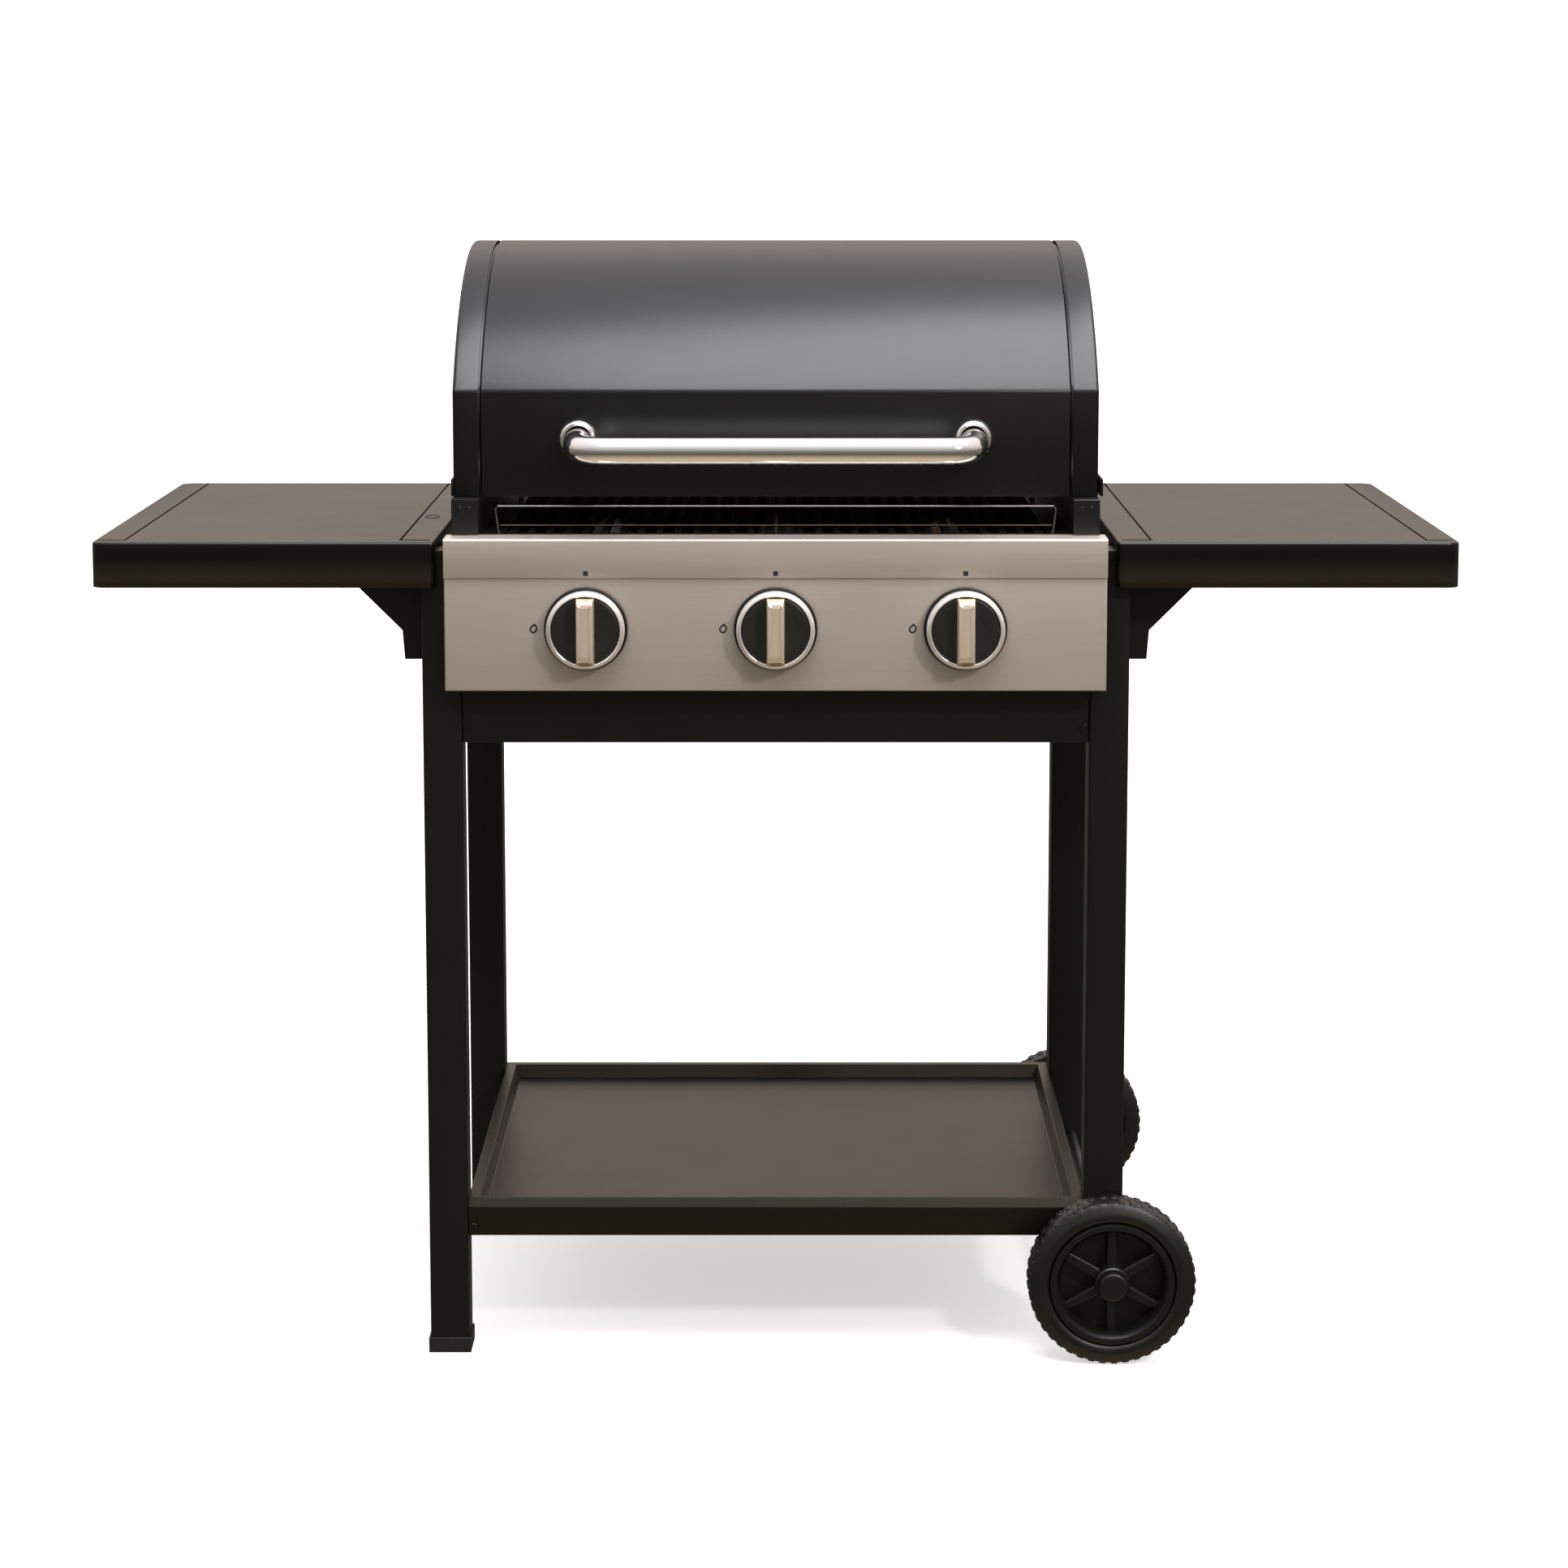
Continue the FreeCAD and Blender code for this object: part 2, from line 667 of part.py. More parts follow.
def make_firebox_side(side_name, side):
    """Cast side frame: it stands on the leg tops' inner faces, carries the tub, and the hood shuts on it."""
    body = new_body(f"firebox_side_{side_name}")
    prism(body, "YZ_Plane", *across(side, "side_inner", "side_outer"),
          rectangle("-side_front", LEG_FACE_Y, "side_block_bottom", "side_top"))
    prism(body, "YZ_Plane", *across(side, "side_inner", LEG_INNER_X),
          rectangle("-cap_back", LEG_FACE_Y, "side_web_bottom", "side_block_bottom"))
    seat = "(tub_top - tub_sheet)"
    prism(body, "YZ_Plane", *across(side, "(side_inner - side_ledge)", "side_inner"),
          rectangle("-(cap_back - side_ledge)", "(cap_back - side_ledge)", f"{seat} - side_ledge_thickness", seat))
    hollow_x = across(side, "(side_inner + side_wall)", f"({LEG_INNER_X} - side_wall)")
    prism(body, "XY_Plane", "side_web_bottom", "(side_top - side_wall)",
          rectangle(*hollow_x, "-(cap_back - side_wall)", f"({LEG_FACE_Y} - side_wall)"), cut=True)
    ear = across(side, "hinge_ear_start", "(hinge_ear_start + hinge_ear)")
    prism(body, "YZ_Plane", *ear,
          polygon([(f"{LEG_FACE_Y} - side_wall", "hinge_z - 2.5 * hinge_knuckle"),
                   ("hinge_y", "hinge_z - hinge_knuckle"), ("hinge_y", "hinge_z + hinge_knuckle"),
                   (f"{LEG_FACE_Y} - side_wall", "hinge_z + hinge_knuckle / 2")]))
    prism(body, "YZ_Plane", *ear, disc("hinge_y", "hinge_z", "hinge_knuckle"))
    prism(body, "YZ_Plane", *ear, disc("hinge_y", "hinge_z", "hinge_pin_radius"), cut=True)


for side_name, side in SIDES.items():
    make_firebox_side(side_name, side)

PIN_END = "(hinge_ear_start + 2 * hinge_ear + 3 * clearance)"
group("hinge_pins", [rod("x", across(side, "hinge_ear_start", PIN_END)[0], "hinge_y", "hinge_z",
                         "hinge_pin_radius", f"{PIN_END} - hinge_ear_start") for side in SIDES.values()])

rivets = []
for side in SIDES.values():
    for step in (-0.5, 0.5):
        rivets.append(rod("y", mirrored(side, f"((side_inner + side_outer) / 2 + {step} * rivet_spacing)"),
                          "-side_front - rivet_height", "side_top - rivet_spacing", "rivet_radius", "rivet_height"))
group("post_rivets", rivets)

# ---------------------------------------------------------------- cooking surfaces

def make_grate(side_name, side):
    """Cast grate: a frame with bars that run front to back."""
    body = new_body(f"cooking_grate_{side_name}")
    low, high = across(side, "(grate_gap / 2)", "(tub_half_width - tub_sheet - grate_margin)")
    deep = "(tub_half_depth - tub_sheet - grate_margin)"
    bottom = "(grate_top - grate_thickness)"
    inner = f"({deep} - grate_frame)"
    prism(body, "XY_Plane", bottom, "grate_top", rectangle(low, high, f"-{deep}", deep),
          rectangle(f"{low} + grate_frame", f"{high} - grate_frame", f"-{inner}", inner))
    pitch = f"((({high}) - ({low}) - grate_frame) / (grate_bars + 1))"
    first = f"({low} + grate_frame / 2 + {pitch} - grate_bar / 2)"
    bar = prism(body, "XY_Plane", f"{bottom} + grate_gap", "grate_top",
                rectangle(first, f"({first} + grate_bar)", f"-{inner} - 1", f"{inner} + 1"))
    row_of(body, bar, "X_Axis", f"{pitch} * (grate_bars - 1)", "grate_bars")


for side_name, side in SIDES.items():
    make_grate(side_name, side)


def make_warming_rack():
    """Wire rack on four legs that stand on the tub's flange."""
    body = new_body("warming_rack")
    x, wire = "rack_half_width", "rack_wire"
    low = "(rack_top - rack_wire)"
    prism(body, "XY_Plane", low, "rack_top", rectangle(f"-{x}", x, "rack_front", "rack_back"),
          rectangle(f"-{x} + {wire}", f"{x} - {wire}", f"rack_front + {wire}", f"rack_back - {wire}"))
    pitch = "((rack_back - rack_front - rack_wire) / (rack_bars + 1))"
    first = f"(rack_front + {pitch})"
    bar = prism(body, "XY_Plane", low, "rack_top",
                rectangle(f"-{x} + {wire} / 2", f"{x} - {wire} / 2", first, f"{first} + {wire}"))
    row_of(body, bar, "Y_Axis", f"{pitch} * (rack_bars - 1)", "rack_bars")
    for side in SIDES.values():
        for y in ("rack_front", f"(rack_back - {wire})"):
            prism(body, "XY_Plane", "tub_top", f"{low} + 1",
                  rectangle(*across(side, f"({x} - {wire})", x), y, f"{y} + {wire}"))


make_warming_rack()

# ---------------------------------------------------------------- burners and gas

def make_burner(name, column):
    """Tube burner through the tub's front wall, closed at the back, with flame ports along both sides."""
    body = new_body(f"burner_{name}", f"{column} * burner_pitch", "0", "knob_height")
    prism(body, "XZ_Plane", "-burner_start", "burner_end", disc("0", "0", "burner_radius"))
    prism(body, "XZ_Plane", "-burner_start", "burner_end - burner_wall",
          disc("0", "0", "burner_radius - burner_wall"), cut=True)
    first = "(-(port_count - 1) * port_pitch / 2)"
    port = prism(body, "YZ_Plane", "-burner_radius - 1", "burner_radius + 1",
                 rectangle(f"{first} - port_length / 2", f"{first} + port_length / 2",
                           "-port_width / 2", "port_width / 2"), cut=True)
    row_of(body, port, "Y_Axis", "(port_count - 1) * port_pitch", "port_count")


for name, column in BURNER_COLUMNS.items():
    make_burner(name, column)


def make_tents():
    """Folded sheet roofs over the burners, one group of three."""
    body = new_body("heat_tents")
    body.AllowCompound = True
    half, deep = "tent_half_width", "(tub_half_depth - tub_sheet - clearance)"
    first = "(-burner_pitch)"
    tent = prism(body, "XZ_Plane", f"-{deep}", deep,
                 polygon([(f"{first} - {half}", "tent_eaves"), (f"{first} - {half} + tent_sheet", "tent_eaves"),
                          (first, "tent_ridge - tent_sheet"), (f"{first} + {half} - tent_sheet", "tent_eaves"),
                          (f"{first} + {half}", "tent_eaves"), (first, "tent_ridge")]))
    row_of(body, tent, "X_Axis", "2 * burner_pitch", 3)


make_tents()

MANIFOLD_FRONT = "(manifold_y + manifold_side / 2)"
MANIFOLD_BACK = "(manifold_y - manifold_side / 2)"


def make_manifold():
    """Square gas tube behind the panel, closed at both ends."""
    body = new_body("gas_manifold")
    low = "(manifold_top - manifold_side)"
    prism(body, "YZ_Plane", "-manifold_left", "manifold_right",
          rectangle(f"-{MANIFOLD_FRONT}", f"-{MANIFOLD_BACK}", low, "manifold_top"))
    prism(body, "YZ_Plane", "-manifold_left + manifold_wall", "manifold_right - manifold_wall",
          rectangle(f"-{MANIFOLD_FRONT} + manifold_wall", f"-{MANIFOLD_BACK} - manifold_wall",
                    f"{low} + manifold_wall", "manifold_top - manifold_wall"), cut=True)


make_manifold()


def make_inlet():
    """Gas pipe from the manifold's left end to a hose nozzle at the back, with a collar behind the nozzle."""
    body = new_body("gas_inlet", "-inlet_x")
    start_z = "(manifold_top - manifold_side / 2)"
    drop = f"({start_z} - inlet_height)"
    bend = "inlet_bend"
    # the two arcs of the drop turn down and back by the same angle, so they share its height equally
    run = f"sqrt({bend} ^ 2 - ({bend} - {drop} / 2) ^ 2)"
    start = f"(-{MANIFOLD_BACK})"
    path = sketch(body, "YZ_Plane")
    first = f"({start} + inlet_collar_length)"
    chain(path, [(start, start_z), (first, start_z), (f"{first} + {run}", f"{start_z} - {drop} / 2"),
                 (f"{first} + 2 * {run}", "inlet_height"), ("inlet_end", "inlet_height")],
          {1: (bend, -1), 2: (bend, 1)}, closed=False)
    profile = sketch(body, "XZ_Plane", f"-{start}")
    disc("0", start_z, "inlet_radius")(profile)
    pipe = body.newObject("PartDesign::AdditivePipe", "InletPipe")
    pipe.Profile = profile
    pipe.Spine = path
    collar_end = "(inlet_end - inlet_nozzle_length)"
    prism(body, "XZ_Plane", f"({collar_end} - inlet_collar_length)", collar_end,
          disc("0", "inlet_height", "inlet_collar_radius"))


make_inlet()


def valve(column):
    """Gas tap: a block on the manifold with a blind bore for the stem and a nozzle into the burner."""
    x = f"{column} * burner_pitch"
    tap = block((f"{x} - valve_half_width", f"{x} + valve_half_width"), ("-valve_front", "-valve_back"),
                ("manifold_top", "valve_top"))
    nozzle = rod("y", x, "-valve_back", "knob_height", "nozzle_radius", "nozzle_length")
    bore = rod("y", x, "-valve_front", "knob_height", "stem_radius + running_fit", "valve_bore_depth")
    return cut_away(joined(tap, nozzle), bore)


group("gas_valves", [valve(column) for column in BURNER_COLUMNS.values()])
group("igniters", [rod("z", f"{column} * burner_pitch + burner_radius + igniter_radius + clearance", "-burner_end",
                       "knob_height - igniter_radius", "igniter_radius", "igniter_length")
                   for column in BURNER_COLUMNS.values()])

# ---------------------------------------------------------------- control panel

def make_panel():
    """Stainless tray-shaped panel across the front, drilled for the three stems."""
    body = new_body("control_panel")
    x, top = "panel_half_width", "(side_block_bottom - cap_sheet)"
    prism(body, "XZ_Plane", "-panel_front", f"-{LEG_FACE_Y}", rectangle(f"-{x}", x, "panel_bottom", top))
    inner = f"({x} - panel_sheet)"
    prism(body, "XZ_Plane", "-(panel_front - panel_sheet)", f"-{LEG_FACE_Y}",
          rectangle(f"-{inner}", inner, "panel_bottom + panel_sheet", top), cut=True)
    prism(body, "XZ_Plane", "-panel_front - 1", "-(panel_front - panel_sheet) + 1",
          *[disc(f"{column} * burner_pitch", "knob_height", "stem_hole_radius")
            for column in BURNER_COLUMNS.values()], cut=True)


make_panel()

cap = new_body("panel_cap")
cap_front = "(panel_front + cap_sheet)"
cap_under = "(side_block_bottom - cap_sheet)"
prism(cap, "YZ_Plane", "-panel_half_width", "panel_half_width",
      polygon([(f"-{cap_front}", "cap_bottom"), ("-panel_front", "cap_bottom"), ("-panel_front", cap_under),
               ("-cap_back", cap_under), ("-cap_back", "side_block_bottom"), (f"-{cap_front}", "side_block_bottom")]))


def bezel(column):
    """Shallow black cup on the panel that a knob sinks into when it is pressed."""
    x = f"{column} * burner_pitch"
    cup = rod("y", x, "-(panel_front + bezel_depth)", "knob_height", "bezel_radius", "bezel_depth")
    recess = rod("y", x, "-(panel_front + bezel_depth)", "knob_height", "knob_ring_radius + bezel_play",
                 "bezel_depth - bezel_floor")
    hole = rod("y", x, "-(panel_front + bezel_depth)", "knob_height", "stem_hole_radius", "bezel_depth")
    return cut_away(cup, recess, hole)


group("knob_bezels", [bezel(column) for column in BURNER_COLUMNS.values()])

# ---------------------------------------------------------------- knobs

KNOB_BACK = "(panel_front + bezel_floor + bezel_play + knob_travel)"
KNOB_FACE = f"({KNOB_BACK} + knob_thickness)"
for name, column in BURNER_COLUMNS.items():
    where = (f"{column} * burner_pitch", "0", "knob_height")
    stem = new_body(f"knob_stem_{name}", *where)
    prism(stem, "XZ_Plane", "-stem_front", "-stem_back", disc("0", "0", "stem_radius"))
    knob = new_body(f"knob_{name}", *where)
    revolve(knob, rectangle("0", "knob_radius", f"-{KNOB_FACE}", f"-{KNOB_BACK}"))
    revolve(knob, rectangle("0", "stem_radius + running_fit", "-stem_front - clearance", f"-{KNOB_BACK} + 1"), cut=True)
    trim = new_body(f"knob_trim_{name}", *where)
    trim.AllowCompound = True
    revolve(trim, rectangle("knob_radius", "knob_ring_radius", f"-({KNOB_BACK} + knob_ring_depth)", f"-{KNOB_BACK}"))
    prism(trim, "XZ_Plane", f"-({KNOB_FACE} + grip_depth)", f"-{KNOB_FACE}",
          rounded("-grip_width / 2", "grip_width / 2", "-grip_height / 2", "grip_height / 2", "grip_corner"))

# ---------------------------------------------------------------- hood

def roof_height(y, radius):
    """Height of the barrel's arc above the floor at a distance from the middle of the legs."""
    return f"(hood_centre_z + sqrt(({radius}) ^ 2 - (({y}) - hood_centre_y) ^ 2))"


def hood_outline():
    """Front wall, barrel arc and back wall as a band one sheet thick, open at the bottom."""
    inner_radius = "(hood_radius - hood_sheet)"
    front, back = "(-hood_front)", "hood_back"
    front_in, back_in = "(-hood_front + hood_sheet)", "(hood_back - hood_sheet)"
    hem_top = "(hood_bottom + hem_height)"
    return polygon([
        (f"{front} - hem_step", "hood_bottom"), (f"{front} - hem_step", hem_top), (front, hem_top),
        (front, roof_height(front, "hood_radius")), (back, roof_height(back, "hood_radius")), (back, "hood_bottom"),
        (back_in, "hood_bottom"), (back_in, roof_height(back_in, inner_radius)),
        (front_in, roof_height(front_in, inner_radius)), (front_in, "hood_bottom")],
        {3: ("hood_radius", -1), 7: (inner_radius, 1)})


def hood_face():
    """The whole side of the hood."""
    front, back = "(-hood_front)", "hood_back"
    return polygon([(front, "hood_bottom"), (front, roof_height(front, "hood_radius")),
                    (back, roof_height(back, "hood_radius")), (back, "hood_bottom")], {1: ("hood_radius", -1)})


shell = new_body("hood_shell")
prism(shell, "YZ_Plane", "-hood_seam", "hood_seam", hood_outline())


def make_hood_end(side_name, side):
    """Pressed end cap: a side wall with a rim that continues the shell, and the hood's half of the hinge."""
    body = new_body(f"hood_end_{side_name}")
    wall = "(hood_half_width - hood_sheet)"
    prism(body, "YZ_Plane", *across(side, "hood_seam", wall), hood_outline())
    prism(body, "YZ_Plane", *across(side, wall, "hood_half_width"), hood_face())
    prism(body, "YZ_Plane", *across(side, wall, "(hood_half_width + hem_step)"),
          rectangle("-hood_front - hem_step", "hood_back", "hood_bottom", "hood_bottom + hem_height"))
    ear = across(side, "(hinge_ear_start + hinge_ear + clearance)", "(hinge_ear_start + 2 * hinge_ear + clearance)")
    prism(body, "YZ_Plane", *ear,
          polygon([("hood_back - hood_sheet / 2", "hood_bottom"), ("hinge_y - hinge_knuckle", "hinge_z"),
                   ("hinge_y + hinge_knuckle", "hinge_z"), ("hood_back + hem_step", "hinge_z + hinge_ear_height"),
                   ("hood_back - hood_sheet / 2", "hinge_z + hinge_ear_height")]))
    prism(body, "YZ_Plane", *ear, disc("hinge_y", "hinge_z", "hinge_knuckle"))
    prism(body, "YZ_Plane", *ear, disc("hinge_y", "hinge_z", "hinge_pin_radius + running_fit"), cut=True)


for side_name, side in SIDES.items():
    make_hood_end(side_name, side)


def make_handle():
    """Bent round tube in front of the hood, with both ends turned back to its front wall."""
    body = new_body("hood_handle", "0", "0", "handle_z")
    x, bend = "handle_half_width", "handle_bend"
    path = sketch(body, "XY_Plane")
    chain(path, [(f"-{x}", "-hood_front"), (f"-{x}", f"-handle_y + {bend}"), (f"-{x} + {bend}", "-handle_y"),
                 (f"{x} - {bend}", "-handle_y"), (x, f"-handle_y + {bend}"), (x, "-hood_front")],
          {1: (bend, 1), 3: (bend, 1)}, closed=False)
    profile = sketch(body, "XZ_Plane", "hood_front")
    disc(f"-{x}", "0", "handle_radius")(profile)
    pipe = body.newObject("PartDesign::AdditivePipe", "HandlePipe")
    pipe.Profile = profile
    pipe.Spine = path


make_handle()


def ferrule(side):
    """Collar round one end of the handle, against the hood."""
    x = mirrored(side, "handle_half_width")
    start = "-(hood_front + ferrule_length)"
    collar = rod("y", x, start, "handle_z", "ferrule_radius", "ferrule_length")
    hole = rod("y", x, start, "handle_z", "handle_radius + running_fit", "ferrule_length")
    return cut_away(collar, hole)


group("handle_ferrules", [ferrule(side) for side in SIDES.values()])
group("handle_screws", [rod("y", mirrored(side, "handle_half_width"), "-hood_front + hood_sheet", "handle_z",
                            "handle_bolt_radius", "handle_bolt_head") for side in SIDES.values()])

# ---------------------------------------------------------------- side tables

TABLE_UNDER = "(table_top - trim_thickness - table_sheet)"
PLATE_OUT = f"({LEG_INNER_Y} - clearance)"
PLATE_IN = f"({PLATE_OUT} - bracket_plate)"


def table_outline(side, inner, outer, front, back, radius):
    """A rectangle whose two corners at the far end are rounded."""
    corners = [(inner, front), (f"{outer} - {radius}", front), (outer, f"{front} + {radius}"),
               (outer, f"{back} - {radius}"), (f"{outer} - {radius}", back), (inner, back)]
    return polygon([(mirrored(side, u), v) for u, v in corners], {1: (radius, side), 3: (radius, side)})


def make_table(side_name, side):
    """Pressed table: a top with skirts on three sides, stepped down at both ends to take the trims."""
    body = new_body(f"table_{side_name}")
    front, back = "-table_front", "table_back"
    prism(body, "XY_Plane", "(table_top - table_skirt)", "table_top",
          table_outline(side, "table_inner", "table_outer", front, back, "table_corner"))
    under = table_outline(side, "(table_inner - 1)", "(table_outer - table_sheet)", f"{front} + table_sheet",
                          f"{back} - table_sheet", "(table_corner - table_sheet)")
    prism(body, "XY_Plane", "(table_top - table_skirt)", TABLE_UNDER, under, cut=True)
    step_in = "(table_inner + trim_inner_width + trim_gap)"
    step_out = "(table_outer - trim_outer_width - trim_gap)"
    prism(body, "XY_Plane", "(table_top - trim_thickness)", "table_top",
          rectangle(*across(side, "(table_inner - 1)", step_in), f"{front} - 1", f"{back} + 1"),
          rectangle(*across(side, step_out, "(table_outer + 1)"), f"{front} - 1", f"{back} + 1"), cut=True)
    prism(body, "XY_Plane", TABLE_UNDER, "(table_top - table_sheet)",
          rectangle(*across(side, f"({step_in} + table_sheet)", f"({step_out} - table_sheet)"),
                    f"{front} + table_sheet", f"{back} - table_sheet"), cut=True)


def make_trims(side_name, side):
    """Flush moulded strips at the two ends of a table. The left one has the tool slot."""
    body = new_body(f"table_trims_{side_name}")
    body.AllowCompound = True
    low = "(table_top - trim_thickness)"
    prism(body, "XY_Plane", low, "table_top",
          table_outline(side, "(table_outer - trim_outer_width)", "table_outer", "-table_front", "table_back",
                        "table_corner"))
    prism(body, "XY_Plane", low, "table_top",
          rectangle(*across(side, "table_inner", "(table_inner + trim_inner_width)"), "-table_front", "table_back"))
    if side < 0:
        prism(body, "XY_Plane", low, "table_top",
              rectangle("-table_slot_x - table_slot_length / 2", "-table_slot_x + table_slot_length / 2",
                        "-table_slot_y - table_slot_width / 2", "-table_slot_y + table_slot_width / 2"), cut=True)


def make_brackets(side_name, side):
    """Two gusset plates with a flange under the table, bored for the studs that the table folds down on."""
    body = new_body(f"table_brackets_{side_name}")
    body.AllowCompound = True
    shape = [("bracket_inner", "bracket_toe_z"), ("bracket_toe_x", "bracket_toe_z"),
             ("bracket_neck_x", "bracket_neck_z"), ("bracket_outer", "table_top - table_skirt"),
             ("bracket_outer", TABLE_UNDER), ("pivot_x", TABLE_UNDER), ("bracket_inner", f"{TABLE_UNDER} - table_corner")]
    plate = polygon([(mirrored(side, u), v) for u, v in shape])
    hole = disc(mirrored(side, "pivot_x"), "pivot_z", "pivot_radius + running_fit")
    flange = rectangle(*across(side, "pivot_x", "bracket_outer"), f"({TABLE_UNDER} - table_sheet)", TABLE_UNDER)
    for low, high, flange_low, flange_high in (
            (f"-{PLATE_OUT}", f"-{PLATE_IN}", f"-{PLATE_OUT}", f"-({PLATE_OUT} - bracket_flange)"),
            (PLATE_IN, PLATE_OUT, f"({PLATE_OUT} - bracket_flange)", PLATE_OUT)):
        prism(body, "XZ_Plane", low, high, plate)
        prism(body, "XZ_Plane", flange_low, flange_high, flange)
        prism(body, "XZ_Plane", low, high, hole, cut=True)


for side_name, side in SIDES.items():
    make_table(side_name, side)
    make_trims(side_name, side)
    make_brackets(side_name, side)


def pivot_stud(side, end):
    """Shouldered stud welded to a leg's inner face. Its head holds the bracket plate."""
    x = mirrored(side, "pivot_x")
    shank_end = f"({PLATE_IN} - clearance)"
    head_end = f"({shank_end} - pivot_head_depth)"
    shank_start = shank_end if end > 0 else f"-{LEG_INNER_Y}"
    head_start = head_end if end > 0 else f"-{shank_end}"
    shank = rod("y", x, shank_start, "pivot_z", "pivot_radius", f"{LEG_INNER_Y} - {shank_end}")
    head = rod("y", x, head_start, "pivot_z", "pivot_head_radius", "pivot_head_depth")
    return joined(shank, head)


group("pivot_studs", [pivot_stud(side, end) for side in SIDES.values() for end in (-1, 1)])

# ---------------------------------------------------------------- grease tray

runners = new_body("tray_runners")
runners.AllowCompound = True
for side in SIDES.values():
    inner, outer = "runner_inner", "runner_outer"
    floor, web = "(rail_top + runner_sheet)", f"({outer} - runner_sheet)"
    corners = [(inner, "rail_top"), (outer, "rail_top"), (outer, "rail_top + runner_height"),
               (web, "rail_top + runner_height"), (web, floor), (inner, floor)]
    prism(runners, "XZ_Plane", f"-{RAIL_FACE_Y}", RAIL_FACE_Y, polygon([(mirrored(side, u), v) for u, v in corners]))

tray = new_body("grease_tray")
tray_low = "(rail_top + runner_sheet + clearance)"
tray_high = f"({tray_low} + tray_height)"
tray_in = "(tray_half_width - tray_sheet)"
prism(tray, "XY_Plane", tray_low, tray_high,
      rectangle("-tray_half_width", "tray_half_width", "-tray_front", "tray_back"))
prism(tray, "XY_Plane", f"({tray_low} + tray_sheet)", tray_high,
      rectangle(f"-{tray_in}", tray_in, "-tray_front + tray_sheet", "tray_back - tray_sheet"), cut=True)
prism(tray, "XY_Plane", f"({tray_high} - tray_lip_height)", tray_high,
      rectangle("-tray_lip_half_width", "tray_lip_half_width", "tray_back - tray_sheet", "tray_back + tray_lip"))

# ---------------------------------------------------------------- checks and files

doc.recompute()
for thing in doc.Objects:
    if "Invalid" in thing.State or "Error" in thing.State:
        raise RuntimeError(f"{thing.Label} did not recompute: {thing.State}")
for piece in pieces:
    if piece.Shape.isNull() or not piece.Shape.isValid() or not piece.Shape.Solids:
        raise RuntimeError(f"{piece.Label} has no valid solid")

os.makedirs("parts", exist_ok=True)
for piece in pieces:
    piece.Shape.exportStep(f"parts/{piece.Label}.step")
print(len(pieces), "pieces written")
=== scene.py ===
"""Looks of a three-burner gas barbecue on a wheeled cart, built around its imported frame.

Metres, +Z up, +X to the right of the person who cooks, -Y towards that person.
"""
import json
import math

import bmesh
import bpy
from mathutils import Matrix, Vector

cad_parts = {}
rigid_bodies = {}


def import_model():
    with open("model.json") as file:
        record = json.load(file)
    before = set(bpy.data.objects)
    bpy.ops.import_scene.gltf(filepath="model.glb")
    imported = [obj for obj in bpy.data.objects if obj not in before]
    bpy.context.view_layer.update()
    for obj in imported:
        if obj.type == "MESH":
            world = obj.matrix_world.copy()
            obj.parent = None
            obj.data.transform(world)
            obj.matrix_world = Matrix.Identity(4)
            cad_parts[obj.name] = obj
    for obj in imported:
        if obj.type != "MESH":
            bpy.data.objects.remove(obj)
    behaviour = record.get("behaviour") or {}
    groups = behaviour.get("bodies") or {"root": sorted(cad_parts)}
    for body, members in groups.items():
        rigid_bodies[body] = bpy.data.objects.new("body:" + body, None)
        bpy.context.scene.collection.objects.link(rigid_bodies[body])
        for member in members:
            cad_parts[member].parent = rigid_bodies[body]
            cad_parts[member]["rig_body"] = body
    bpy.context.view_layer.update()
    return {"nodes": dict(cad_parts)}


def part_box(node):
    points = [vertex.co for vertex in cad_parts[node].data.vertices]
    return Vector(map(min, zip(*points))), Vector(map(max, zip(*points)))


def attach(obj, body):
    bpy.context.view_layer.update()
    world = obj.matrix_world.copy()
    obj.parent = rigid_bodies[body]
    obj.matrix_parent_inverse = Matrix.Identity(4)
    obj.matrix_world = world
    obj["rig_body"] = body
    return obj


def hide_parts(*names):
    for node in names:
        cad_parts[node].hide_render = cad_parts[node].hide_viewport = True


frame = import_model()
nodes = frame["nodes"]
scene = bpy.context.scene
MM = 0.001

# ------------------------ camera, floor and studio light
# The camera stands a little above the hood and looks slightly down at the cart. The floor is a plain
# pale sheet. A wide soft lamp hangs over the cook's head and a small one stands high on the right.

LOOKS_DOWN = 7.385          # degrees below the horizon
lens = bpy.data.cameras.new("studio_camera")
lens.lens = 80.2
lens.shift_y = -0.15
camera = bpy.data.objects.new("studio_camera", lens)
camera.location = (0.0073, -3.2554, 1.125)
camera.rotation_euler = (math.radians(90 - LOOKS_DOWN), 0, 0)
scene.collection.objects.link(camera)
scene.camera = camera
scene.view_settings.view_transform = "Standard"


class Level:
    """A number that varies over a surface. Arithmetic on it adds Math nodes."""

    def __init__(self, tree, socket):
        self.tree = tree
        self.socket = socket

    def maths(self, operation, *operands):
        return self.tree.node("ShaderNodeMath", {"operation": operation}, dict(enumerate(operands)))

    def __add__(self, other):
        return self.maths("ADD", self, other)

    def __sub__(self, other):
        return self.maths("SUBTRACT", self, other)

    def __rsub__(self, other):
        return self.maths("SUBTRACT", other, self)

    def __mul__(self, other):
        return self.maths("MULTIPLY", self, other)

    __radd__ = __add__

    def held(self):
        """The same number kept between 0 and 1."""
        return self.tree.node("ShaderNodeClamp", {}, {"Value": self})


